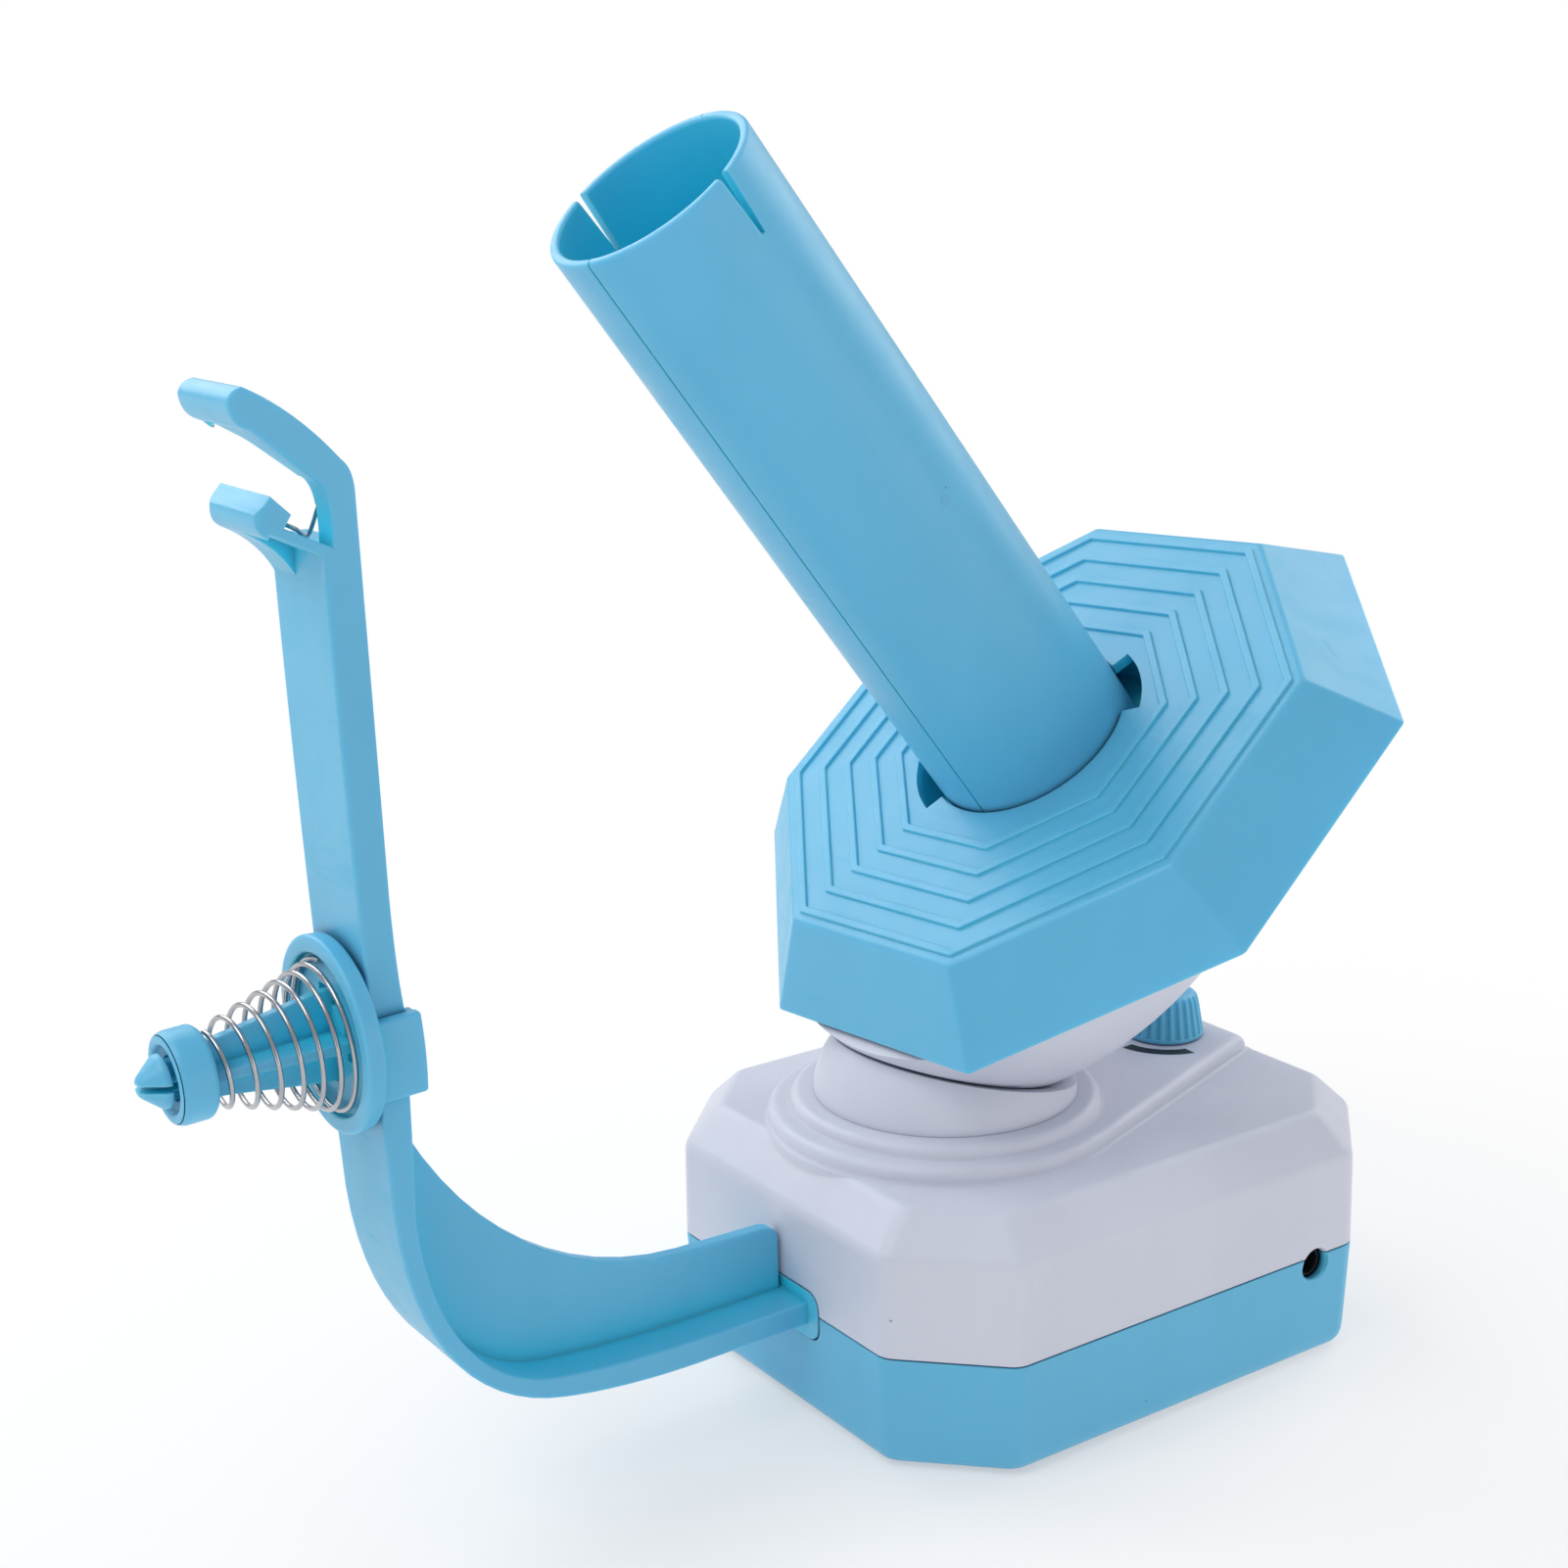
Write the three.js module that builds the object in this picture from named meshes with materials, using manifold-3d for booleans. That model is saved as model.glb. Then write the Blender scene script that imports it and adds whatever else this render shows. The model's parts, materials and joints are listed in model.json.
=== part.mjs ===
// Electric yarn ball winder: a motor in the base turns a leaning head round a fixed post, and gears in the
// head turn the spool back against it, so the yarn lays itself in a criss-cross ball on the tube.
// Millimetres, +Z up. The work frame has its origin under the middle of the base, with +X towards the
// speed knob and -X towards the yarn arm. FRAME_X then centres the whole object on the part's origin.
import * as THREE from "three";
import { mergeVertices } from "three/addons/utils/BufferGeometryUtils.js";
import Module from "manifold-3d";

const wasm = await Module();
wasm.setup();

// ---------------------------------------------------------------- driving dimensions
const FRAME_X = 58.294;
const GAP = 0.3;
const DEG = Math.PI / 180;

// Base: eight-sided shells, each level as half length, half width, corner cut and height.
const WALL = 2.2;
const BOTTOM = { a: 58.9, b: 49.6, c: 17.1, z: 2.2 };
const SPLIT = { a: 59.9, b: 50.6, c: 17.6, z: 22.7 };
const SHOULDER = { a: 60, b: 51.3, c: 18.8, z: 42.3 };
const TOP = { a: 52.7, b: 43.7, c: 13.5, z: 49.5 };
const BASE_UNDERSIDE = 0.8;
const BASE_SCREW = { x: 43.5, y: 34 };
const FOOT = { x: 30, y: 38, radius: 5, height: 2 };

// Head: the rotor turns about a vertical axis, and the spool about an axis that leans over it.
const HEAD_X = -19.4;
const TILT = 38 * DEG;
const APEX_Z = 149.7;
const PLATE = { top: 33.24, underside: 48.24, topRadius: 58.2, rimRadius: 71.6, turn: 27.15 * DEG };
const RIB = { outer: 56.2, pitch: 6.36, width: 1.65, height: 0.6, count: 5 };
const SOCKET = { outer: 27.2, inner: 25.2, low: 46.2, floor: 44.2, hub: 8.5, bore: 4.25 };
const BOWL_TOP = 49.2;
const RING_TOP = 55.1;
const SEAM = { z: 61.5, slope: 0.245 };

// Gears: spur and bevel teeth with a 25 degree pressure angle and a short addendum.
const TRAIN_MODULE = 1.25;
const TEETH = { main: 48, idlerSmall: 12, idlerLarge: 30, motor: 10, sun: 20, transfer: 18, bevel: 14 };
const TRANSFER_OFFSET = 22;
const MOTOR_BEARING = -48 * DEG;

// Arm and thread tensioner.
const ARM_WIDTH = 19.8;
const WEB = 3;
const TENSION = { x: -144.95, z: 95.9, lean: 2.4 * DEG };
const DISC = { radius: 17, high: 3.6, recess: 13.8, floor: 2.2 };
const POST = { root: 8, tip: 4.8, rootHigh: 3.4, tipHigh: 23.8, core: 3.4, high: 31.1, blade: 0.9 };
const BARB = { radius: 4.6, tip: 1.8, high: 35.6 };
const WINDOW = { half: 3, near: 5.4, far: 8.4 };
const JAW = { down: -9.3, up: 4.7, back: -8.5, lip: -7.1, wall: 2.8, reach: 2.4 };
const SPRING = { turns: 7, start: 12.9, end: 6.3, low: 2.9, high: 23.6, wire: 0.45, bunching: 1.35 };
const CAP = { low: 24.4, roof: 28.4, high: 30.8, radius: 7.8, inner: 5.7, mouth: 5.3, bore: 3.8 };
const KNOB_X = 39;
const JACK = { x: 32.6, z: 20.9 };

// ---------------------------------------------------------------- solids
function solid(geometry) {
  const bare = geometry.index ? geometry.toNonIndexed() : geometry.clone();
  bare.deleteAttribute("normal");
  bare.deleteAttribute("uv");
  const merged = mergeVertices(bare, 1e-4);
  const vertProperties = merged.attributes.position.array;
  const triVerts = new Uint32Array(merged.index.array);
  const make = () => new wasm.Manifold(new wasm.Mesh({ numProp: 3, vertProperties, triVerts }));
  const first = make();
  if (first.volume() > 0) return first;
  for (let i = 0; i < triVerts.length; i += 3) {
    [triVerts[i + 1], triVerts[i + 2]] = [triVerts[i + 2], triVerts[i + 1]];
  }
  return make();
}

function geometryOf(body) {
  const mesh = body.getMesh();
  const geometry = new THREE.BufferGeometry();
  geometry.setAttribute("position", new THREE.BufferAttribute(mesh.vertProperties, 3));
  geometry.setIndex(new THREE.BufferAttribute(mesh.triVerts, 1));
  return geometry;
}

const join = (first, ...rest) => rest.reduce((sum, next) => sum.add(next), first);
const cut = (first, ...rest) => rest.reduce((sum, next) => sum.subtract(next), first);

// A round bar from z = low to z = high, with its own radius at each end.
function rod(low, high, radius, topRadius = radius, sides = 32, x = 0, y = 0) {
  const geometry = new THREE.CylinderGeometry(topRadius, radius, high - low, sides);
  return solid(geometry.rotateX(Math.PI / 2).translate(x, y, (low + high) / 2));
}

function pipe(low, high, outer, inner, sides = 32, x = 0, y = 0) {
  return cut(rod(low, high, outer, outer, sides, x, y), rod(low - 1, high + 1, inner, inner, sides, x, y));
}

function block(x0, x1, y0, y1, z0, z1) {
  const geometry = new THREE.BoxGeometry(x1 - x0, y1 - y0, z1 - z0);
  return solid(geometry.translate((x0 + x1) / 2, (y0 + y1) / 2, (z0 + z1) / 2));
}

// A turned solid: profile points are [radius, height], on the axis at both ends.
function turned(profile, sides = 40) {
  const points = profile.map(([radius, height]) => new THREE.Vector2(radius, height));
  return solid(new THREE.LatheGeometry(points, sides).rotateX(Math.PI / 2));
}

// A solid skinned over flat convex sections that all have the same number of corners.
function skinned(sections) {
  const count = sections[0].length;
  const index = [];
  for (let level = 0; level + 1 < sections.length; level++) {
    for (let i = 0; i < count; i++) {
      const a = level * count + i;
      const b = level * count + ((i + 1) % count);
      index.push(a, b, b + count, a, b + count, a + count);
    }
  }
  const last = (sections.length - 1) * count;
  for (let i = 1; i + 1 < count; i++) {
    index.push(0, i + 1, i, last, last + i, last + i + 1);
  }
  const geometry = new THREE.BufferGeometry();
  geometry.setAttribute("position", new THREE.Float32BufferAttribute(sections.flat(2), 3));
  return solid(geometry.setIndex(index));
}

function extruded(shape, depth) {
  return solid(new THREE.ExtrudeGeometry(shape, { depth, bevelEnabled: false, curveSegments: 10 }));
}

// A shape drawn in x and z, thickened evenly to both sides of y = 0.
function slab(shape, width) {
  const options = { depth: width, bevelEnabled: false, curveSegments: 8 };
  const geometry = new THREE.ExtrudeGeometry(shape, options);
  return solid(geometry.rotateX(Math.PI / 2).translate(0, width / 2, 0));
}

function wireAlong(points, radius, steps, sides = 8, tension = 0.5) {
  const extrudePath = new THREE.CatmullRomCurve3(points, false, "catmullrom", tension);
  const shape = circle(radius, sides);
  return solid(new THREE.ExtrudeGeometry(shape, { steps, extrudePath, bevelEnabled: false }));
}

function circle(radius, sides) {
  const turn = (2 * Math.PI) / sides;
  const corner = (i) => [radius * Math.cos(i * turn), radius * Math.sin(i * turn)];
  const shape = new THREE.Shape().moveTo(...corner(0));
  for (let i = 1; i < sides; i++) shape.lineTo(...corner(i));
  return shape;
}

const point = (x, y, z) => new THREE.Vector3(x, y, z);

// ---------------------------------------------------------------- materials
const LOOKS = {
  blue: [0x6db3d9, 0.42, 0],
  white: [0xcfd2de, 0.45, 0],
  rubber: [0x1d1e20, 0.9, 0],
  steel: [0xb9bcc0, 0.3, 0.95],
  bronze: [0xb58a54, 0.4, 0.9],
  acetal: [0xe9e6dc, 0.5, 0],
  black: [0x17181a, 0.5, 0],
  board: [0x1f6b43, 0.6, 0],
  red: [0xb3261e, 0.5, 0],
};

function piece(parent, name, look, body) {
  const [color, roughness, metalness] = LOOKS[look];
  const material = new THREE.MeshStandardMaterial({ color, roughness, metalness });
  const mesh = new THREE.Mesh(geometryOf(body), material);
  mesh.name = name;
  parent.add(mesh);
}

// ---------------------------------------------------------------- frames
const winder = new THREE.Group();
winder.position.x = FRAME_X;

// +Z up the post, origin under the post.
const head = new THREE.Group();
head.position.x = HEAD_X;
winder.add(head);

// +Z along the spool axis away from the base, origin where that axis crosses the post's, x downhill.
const spool = new THREE.Group();
spool.position.z = APEX_Z;
spool.rotation.set(0, -TILT, Math.PI);
head.add(spool);

// +Z out of the arm's outer face, origin on that face, x up the arm.
const tension = new THREE.Group();
tension.position.set(TENSION.x, 0, TENSION.z);
tension.rotation.set(0, -Math.PI / 2 - TENSION.lean, 0);
winder.add(tension);

// ---------------------------------------------------------------- base shells
function octagon({ a, b, c, z }, inset = 0, height = z) {
  const [x, y, k] = [a - inset, b - inset, c - inset * (2 - Math.SQRT2)];
  const corners = [
    [x, y - k], [x - k, y], [k - x, y], [-x, y - k],
    [-x, k - y], [k - x, -y], [x - k, -y], [x, k - y],
  ];
  return corners.map(([px, py]) => [px, py, height]);
}

const corners = (place) => [
  [place.x, place.y], [-place.x, place.y], [-place.x, -place.y], [place.x, -place.y],
];

const GEAR_POSTS = [[4, -20], [4, 22], [46.5, 8]];
const armSocket = () => block(-64, -45, -13.3, 13.3, 17, 27.2);
const jackHole = () => turnedAlongY(3.25, -56, -44);

function turnedAlongY(radius, y0, y1, sides = 18) {
  const geometry = new THREE.CylinderGeometry(radius, radius, y1 - y0, sides);
  return solid(geometry.translate(JACK.x, (y0 + y1) / 2, JACK.z));
}

function baseBottomShell() {
  const lip = { ...SPLIT, a: SPLIT.a - 0.35, b: SPLIT.b - 0.35 };
  const outside = skinned([
    octagon(BOTTOM, 1.1, BASE_UNDERSIDE),
    octagon(BOTTOM),
    octagon(SPLIT, 0, SPLIT.z - 1.3),
    octagon(lip, 0, SPLIT.z - 1.1),
    octagon(lip, 0, SPLIT.z - 0.1),
  ]);
  const inside = skinned([octagon(BOTTOM, WALL, 3), octagon(SPLIT, WALL, SPLIT.z + 1)]);
  const screwBosses = corners(BASE_SCREW).map(([x, y]) => rod(2, 21, 4, 4, 14, x, y));
  const gearPosts = GEAR_POSTS.map(([x, y]) => rod(2, 27.7, 3.5, 3.5, 12, x, y));
  const boardPosts = BOARD_POSTS.map(([x, y]) => rod(2, 9.7, 2.6, 2.6, 10, x, y));
  const postBoss = rod(2, 20, 8, 7, 16, HEAD_X);
  const body = join(cut(outside, inside), postBoss, ...screwBosses, ...gearPosts, ...boardPosts);
  const screwHoles = corners(BASE_SCREW).flatMap(([x, y]) => [
    rod(0, 6, 3.3, 3.3, 12, x, y),
    rod(5, 22, 1.7, 1.7, 8, x, y),
  ]);
  const pilots = GEAR_POSTS.map(([x, y]) => rod(18, 28, 1.35, 1.35, 8, x, y));
  const seat = FOOT.radius + GAP;
  const footSeats = corners(FOOT).map(([x, y]) => rod(0, FOOT.height + GAP, seat, seat, 16, x, y));
  const postHole = rod(3.7, 21, 4.3, 4.3, 20, HEAD_X);
  return cut(body, postHole, armSocket(), jackHole(), ...screwHoles, ...pilots, ...footSeats);
}

// The stepped collar round the rotor, and the raised tail that runs from it to the knob.
function collar() {
  return turned([
    [0, 46], [34.9, 46], [34.9, TOP.z], [33.9, 51.6], [32.4, 52.5], [30.4, 52.5],
    [29.4, 54.5], [28.1, RING_TOP], [0, RING_TOP],
  ]).translate([HEAD_X, 0, 0]);
}

function knobPlatform() {
  const level = (inset, height) => {
    const [near, far, end] = [34 - inset, 11.8 - inset, 51.6 - inset];
    const outline = [
      [HEAD_X, -near], [-7.5, 1.6 - near], [end, -far], [end, far], [-7.5, near - 1.6], [HEAD_X, near],
    ];
    return outline.map(([x, y]) => [x, y, height]);
  };
  return skinned([level(0, 47), level(0, TOP.z), level(1.4, 51.6), level(3, 52.5)]);
}

function baseTopShell() {
  const outside = skinned([octagon(SPLIT, 0, SPLIT.z + 0.2), octagon(SHOULDER), octagon(TOP)]);
  const inside = skinned([
    octagon(SPLIT, WALL, SPLIT.z - 1),
    octagon(SHOULDER, WALL, SHOULDER.z - 0.6),
    octagon(TOP, WALL, TOP.z - WALL),
  ]);
  const collarHollow = rod(45, RING_TOP - WALL, 27, 27, 32, HEAD_X);
  const bosses = corners(BASE_SCREW).map(([x, y]) => rod(SPLIT.z + 0.2, 48.4, 3.6, 3.6, 14, x, y));
  const sleeve = rod(45.5, RING_TOP - 0.5, 14.4, 14.4, 32, HEAD_X);
  const shell = cut(join(outside, collar(), knobPlatform()), inside, collarHollow);
  const pilots = corners(BASE_SCREW).map(([x, y]) => rod(20, 38, 1.6, 1.6, 8, x, y));
  const rotorHole = rod(40, 60, 12, 12, 32, HEAD_X);
  const knobHole = rod(44, 56, 3.7, 3.7, 24, KNOB_X);
  return cut(join(shell, sleeve, ...bosses), rotorHole, knobHole, armSocket(), jackHole(), ...pilots);
}

function screw(x, y, headLow, headHigh, headRadius, shankEnd, shankRadius) {
  const [low, high] = [Math.min(headLow, headHigh), Math.max(headLow, headHigh)];
  const [shankLow, shankHigh] = [Math.min(high, shankEnd) - 0.1, Math.max(low, shankEnd)];
  const shank = rod(shankLow, shankHigh, shankRadius, shankRadius, 6, x, y);
  return join(rod(low, high, headRadius, headRadius, 12, x, y), shank);
}

function addBase() {
  piece(winder, "base_bottom_shell", "blue", baseBottomShell());
  piece(winder, "base_top_shell", "white", baseTopShell());
  const places = ["back_right", "back_left", "front_left", "front_right"];
  corners(FOOT).forEach(([x, y], i) => {
    const pad = rod(0, FOOT.height, FOOT.radius - 0.4, FOOT.radius, 16, x, y);
    piece(winder, `foot_${places[i]}`, "rubber", pad);
  });
  corners(BASE_SCREW).forEach(([x, y], i) => {
    piece(winder, `base_screw_${places[i]}`, "steel", screw(x, y, 3.6, 5.7, 2.9, 34, 1.3));
  });
}

// ---------------------------------------------------------------- gears
// A closed outline of involute teeth; tooth 0 is centred on the angle called turn.
function toothOutline(teeth, module, turn) {
  const pressure = 25 * DEG;
  const pitch = (teeth * module) / 2;
  const base = pitch * Math.cos(pressure);
  const tip = pitch + 0.8 * module;
  const root = pitch - 1.1 * module;
  const involute = (radius) => {
    const angle = Math.acos(Math.min(1, base / radius));
    return Math.tan(angle) - angle;
  };
  const backlash = 0.07 * module;
  const halfAtPitch = Math.PI / (2 * teeth) - backlash / pitch;
  const half = (radius) => halfAtPitch + involute(pitch) - involute(Math.max(radius, base));
  const undercut = base > root + 0.3 * module;
  const curved = undercut ? [root, base, (base + tip) / 2, tip] : [root, pitch, tip];
  const radii = teeth > 24 ? [root, tip] : curved;
  const outline = [];
  for (let i = 0; i < teeth; i++) {
    const centre = turn + (i * 2 * Math.PI) / teeth;
    const rising = radii.map((radius) => [radius, centre - half(radius)]);
    const falling = radii.map((radius) => [radius, centre + half(radius)]).reverse();
    for (const [radius, angle] of [...rising, ...falling]) {
      outline.push([radius * Math.cos(angle), radius * Math.sin(angle)]);
    }
  }
  return outline;
}

function shapeOf(outline) {
  return new THREE.Shape(outline.map(([x, y]) => new THREE.Vector2(x, y)));
}

function spurGear(teeth, module, turn, low, high, x = 0, y = 0) {
  return extruded(shapeOf(toothOutline(teeth, module, turn)), high - low).translate([x, y, low]);
}

// Bevel teeth shrink towards an apex at the origin; large and small are distances down the -Z axis.
function bevelGear(teeth, module, turn, large, small) {
  const outline = toothOutline(teeth, module, turn);
  const ring = (scale, height) => outline.map(([x, y]) => [x * scale, y * scale, -height]);
  const faces = THREE.ShapeUtils.triangulateShape(shapeOf(outline).getPoints(), []);
  const count = outline.length;
  const index = [];
  for (let i = 0; i < count; i++) {
    const next = (i + 1) % count;
    index.push(i, next, next + count, i, next + count, i + count);
  }
  for (const [a, b, c] of faces) index.push(a, c, b, a + count, b + count, c + count);
  const geometry = new THREE.BufferGeometry();
  const places = [...ring(1, large), ...ring(small / large, small)].flat();
  geometry.setAttribute("position", new THREE.Float32BufferAttribute(places, 3));
  return solid(geometry.setIndex(index));
}

// ---------------------------------------------------------------- drive in the base
const IDLER_X = HEAD_X + ((TEETH.main + TEETH.idlerSmall) / 2) * TRAIN_MODULE;
const MOTOR_REACH = ((TEETH.idlerLarge + TEETH.motor) / 2) * TRAIN_MODULE;
const MOTOR_X = IDLER_X + MOTOR_REACH * Math.cos(MOTOR_BEARING);
const MOTOR_Y = MOTOR_REACH * Math.sin(MOTOR_BEARING);
const MOTOR = { low: 5, high: 27.7, radius: 12.5, screwReach: 8 };
const GEAR_PLATE = { low: 28, high: 29.6 };
const BOARD_POSTS = [[-2, 40], [28, 32]];

function gearPlate() {
  const shape = new THREE.Shape();
  shape.moveTo(-1, -22).lineTo(3, -25).lineTo(28, -31).lineTo(37, -31).lineTo(45, -26);
  shape.lineTo(51, 6).lineTo(49, 12).lineTo(44, 13).lineTo(8, 27).lineTo(1, 27).lineTo(-1, 23);
  const plate = extruded(shape, GEAR_PLATE.high - GEAR_PLATE.low).translate([0, 0, GEAR_PLATE.low]);
  const holes = [
    rod(20, 35, 3.6, 3.6, 24, MOTOR_X, MOTOR_Y),
    rod(20, 35, 1.8, 1.8, 16, IDLER_X),
    ...GEAR_POSTS.map(([x, y]) => rod(20, 35, 1.7, 1.7, 12, x, y)),
    ...MOTOR_SCREWS.map(([x, y]) => rod(20, 35, 1.5, 1.5, 12, x, y)),
  ];
  return cut(plate, ...holes);
}

const MOTOR_SCREWS = [1, -1].map((side) => [
  MOTOR_X + side * MOTOR.screwReach * Math.sin(MOTOR_BEARING),
  MOTOR_Y - side * MOTOR.screwReach * Math.cos(MOTOR_BEARING),
]);

function motorCan() {
  const can = join(
    rod(MOTOR.low, MOTOR.high, MOTOR.radius, MOTOR.radius, 36, MOTOR_X, MOTOR_Y),
    rod(MOTOR.high - 0.1, 29.2, 3.2, 3.2, 24, MOTOR_X, MOTOR_Y),
  );
  const holes = MOTOR_SCREWS.map(([x, y]) => rod(24, 30, 1.2, 1.2, 12, x, y));
  return cut(can, rod(20, 32, 1.3, 1.3, 16, MOTOR_X, MOTOR_Y), ...holes);
}

function idlerGear() {
  const large = spurGear(TEETH.idlerLarge, TRAIN_MODULE, MOTOR_BEARING, 31.6, 36, IDLER_X);
  const turn = Math.PI + Math.PI / TEETH.idlerSmall;
  const small = spurGear(TEETH.idlerSmall, TRAIN_MODULE, turn, 35.9, 43.6, IDLER_X);
  return cut(join(large, small), rod(30, 45, 1.9, 1.9, 16, IDLER_X));
}

function mainGear() {
  const gear = spurGear(TEETH.main, TRAIN_MODULE, 0, 37, 42.6);
  const boss = rod(36.7, 45, 12.5, 12.5, 32);
  return cut(join(gear, boss), rod(30, 50, 9.3, 9.3, 32));
}

function addDrive() {
  piece(winder, "gear_plate", "steel", gearPlate());
  GEAR_POSTS.forEach(([x, y], i) => {
    piece(winder, `gear_plate_screw_${i + 1}`, "steel", screw(x, y, 29.9, 31.3, 2.4, 20, 1.05));
  });
  piece(winder, "motor_can", "steel", motorCan());
  MOTOR_SCREWS.forEach(([x, y], i) => {
    piece(winder, `motor_screw_${i + 1}`, "steel", screw(x, y, 29.9, 31.1, 2, 25, 0.95));
  });
  piece(winder, "motor_shaft", "steel", rod(22, 37.4, 1, 1, 16, MOTOR_X, MOTOR_Y));
  const pinionTurn = MOTOR_BEARING + Math.PI + Math.PI / TEETH.motor;
  const pinion = spurGear(TEETH.motor, TRAIN_MODULE, pinionTurn, 31.4, 36.4, MOTOR_X, MOTOR_Y);
  piece(winder, "motor_pinion", "acetal", cut(pinion, rod(30, 40, 1.3, 1.3, 16, MOTOR_X, MOTOR_Y)));
  piece(winder, "idler_pin", "steel", rod(26, 44.6, 1.5, 1.5, 12, IDLER_X));
  piece(winder, "idler_gear", "acetal", idlerGear());
  piece(head, "main_gear", "acetal", mainGear());
}

// ---------------------------------------------------------------- rotor
const HUB = { radius: 9, bore: 6.6, low: 34.6 };
const BELL_FOOT = 55.4;
const ROTOR_SCREWS = [[0, 18], [-18, 0], [0, -18]];
const seamHeight = (x) => SEAM.z - SEAM.slope * x;

// Everything above the tilted joint between the bell and the bowl.
function aboveSeam(lift) {
  const reach = 90;
  const corner = (x, y, top) => [x, y, top ? 200 : seamHeight(x) + lift];
  const level = (top) => [[-reach, -reach], [reach, -reach], [reach, reach], [-reach, reach]].map(
    ([x, y]) => corner(x, y, top),
  );
  return skinned([level(false), level(true)]);
}

function rotorBell() {
  const dome = turned([
    [0, BELL_FOOT], [25.9, BELL_FOOT], [25.5, 57.7], [24.4, 60.5], [23, 63.4], [21.4, 66.2], [19, 69],
    [0, 69],
  ]);
  const hollow = rod(59, 80, 21.8, 17, 32);
  const bosses = ROTOR_SCREWS.map(([x, y]) => rod(58, 69, 3.2, 3.2, 12, x, y));
  const shell = join(cut(dome, hollow), ...bosses, rod(HUB.low, 60, HUB.radius, HUB.radius, 28));
  const headSeats = ROTOR_SCREWS.map(([x, y]) => rod(50, 57.8, 2.9, 2.9, 12, x, y));
  const screwHoles = ROTOR_SCREWS.map(([x, y]) => rod(50, 75, 1.4, 1.4, 8, x, y));
  const ringGroove = pipe(35.4, 36.6, 12, 8.2, 28);
  const bore = rod(30, 70, HUB.bore, HUB.bore, 24);
  return cut(shell, bore, ringGroove, aboveSeam(0), ...headSeats, ...screwHoles);
}

// The bowl is skinned over circles that swing from the tilted joint up to the underside of the plate.
function bowlSolid(inset, topLevel) {
  const neck = { x: 0.9, z: 61.4, radius: 22.2, lean: Math.atan(SEAM.slope) };
  const mouth = { x: Math.sin(TILT) * topLevel, z: APEX_Z - Math.cos(TILT) * topLevel, radius: 54 };
  const bulge = 44.3;
  const handle = { x: neck.x + bulge * Math.sin(neck.lean), z: neck.z + bulge * Math.cos(neck.lean) };
  const [steps, sides] = [6, 36];
  const sections = [];
  for (let i = 0; i <= steps; i++) {
    const s = (i / steps) ** 1.35;
    const lean = neck.lean + (-TILT - neck.lean) * s;
    const at = (key) => (1 - s) ** 2 * neck[key] + 2 * s * (1 - s) * handle[key] + s * s * mouth[key];
    const radius = neck.radius + (mouth.radius - neck.radius) * (1 - (1 - s) ** 4) - inset;
    const ring = [];
    for (let k = 0; k < sides; k++) {
      const angle = (k / sides) * 2 * Math.PI;
      const [side, across] = [Math.cos(angle), Math.sin(angle)];
      const [reach, rise] = [radius * side * Math.cos(lean), radius * side * Math.sin(lean)];
      ring.push([at("x") - reach, radius * across, at("z") + rise]);
    }
    sections.push(ring);
  }
  return skinned(sections);
}

// Along the spool axis, given by distances below the apex, as a solid in the head's frame.
function onSpoolAxis(body) {
  return body.rotate([0, 0, 180]).rotate([0, -TILT / DEG, 0]).translate([0, 0, APEX_Z]);
}

// Everything further down the spool axis than the given distance from the apex.
const belowPlate = (distance) => onSpoolAxis(rod(-150, -distance, 110, 110, 8));

const TRANSFER_PIN = { low: 62.4, high: 99, radius: 1.5 };

function rotorBowl() {
  const outside = bowlSolid(0, BOWL_TOP).intersect(belowPlate(BOWL_TOP));
  const inside = bowlSolid(2, BOWL_TOP + 2.2).intersect(belowPlate(BOWL_TOP + 2.2));
  const mouthCut = rod(50, 66, 19.6, 19.6, 36);
  const screwBosses = ROTOR_SCREWS.map(([x, y]) => rod(50, 78, 3.2, 3.2, 12, x, y));
  const pinSeat = rod(50, 66.2, 3.4, 3.4, 14, TRANSFER_OFFSET);
  const pinTop = rod(94.4, 110, 3.4, 3.4, 14, TRANSFER_OFFSET);
  const bearing = onSpoolAxis(rod(-61, -50, 8.2, 8.2, 24));
  const fittings = join(pinSeat, pinTop, bearing, ...screwBosses).intersect(outside);
  const shell = join(cut(outside, inside, mouthCut), fittings);
  const cuts = [
    onSpoolAxis(rod(-70, -40, 6.5, 6.5, 24)),
    rod(TRANSFER_PIN.low - GAP, TRANSFER_PIN.high + GAP, 1.8, 1.8, 10, TRANSFER_OFFSET),
    ...ROTOR_SCREWS.map(([x, y]) => rod(50, seamHeight(x) + 7, 1.35, 1.35, 8, x, y)),
    rod(66.5, 76, 13.6, 13.6, 30),
  ];
  return cut(shell.intersect(aboveSeam(GAP)), ...cuts);
}

// ---------------------------------------------------------------- fixed sun, transfer gear and spool drive
const SUN_MODULE = (2 * TRANSFER_OFFSET) / (TEETH.sun + TEETH.transfer);
const SUN_GEAR = { low: 67.2, high: 72 };
const BEVEL_ANGLE = TILT / 2;
const BEVEL_APEX = TRANSFER_OFFSET / Math.sin(TILT);
const BEVEL_LARGE = 36.5 * Math.cos(BEVEL_ANGLE);
const BEVEL_SMALL = 31 * Math.cos(BEVEL_ANGLE);
const BEVEL_MODULE = (2 * BEVEL_LARGE * Math.tan(BEVEL_ANGLE)) / TEETH.bevel;

const spoolBevel = (turn) => bevelGear(TEETH.bevel, BEVEL_MODULE, turn, BEVEL_LARGE, BEVEL_SMALL);

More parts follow.
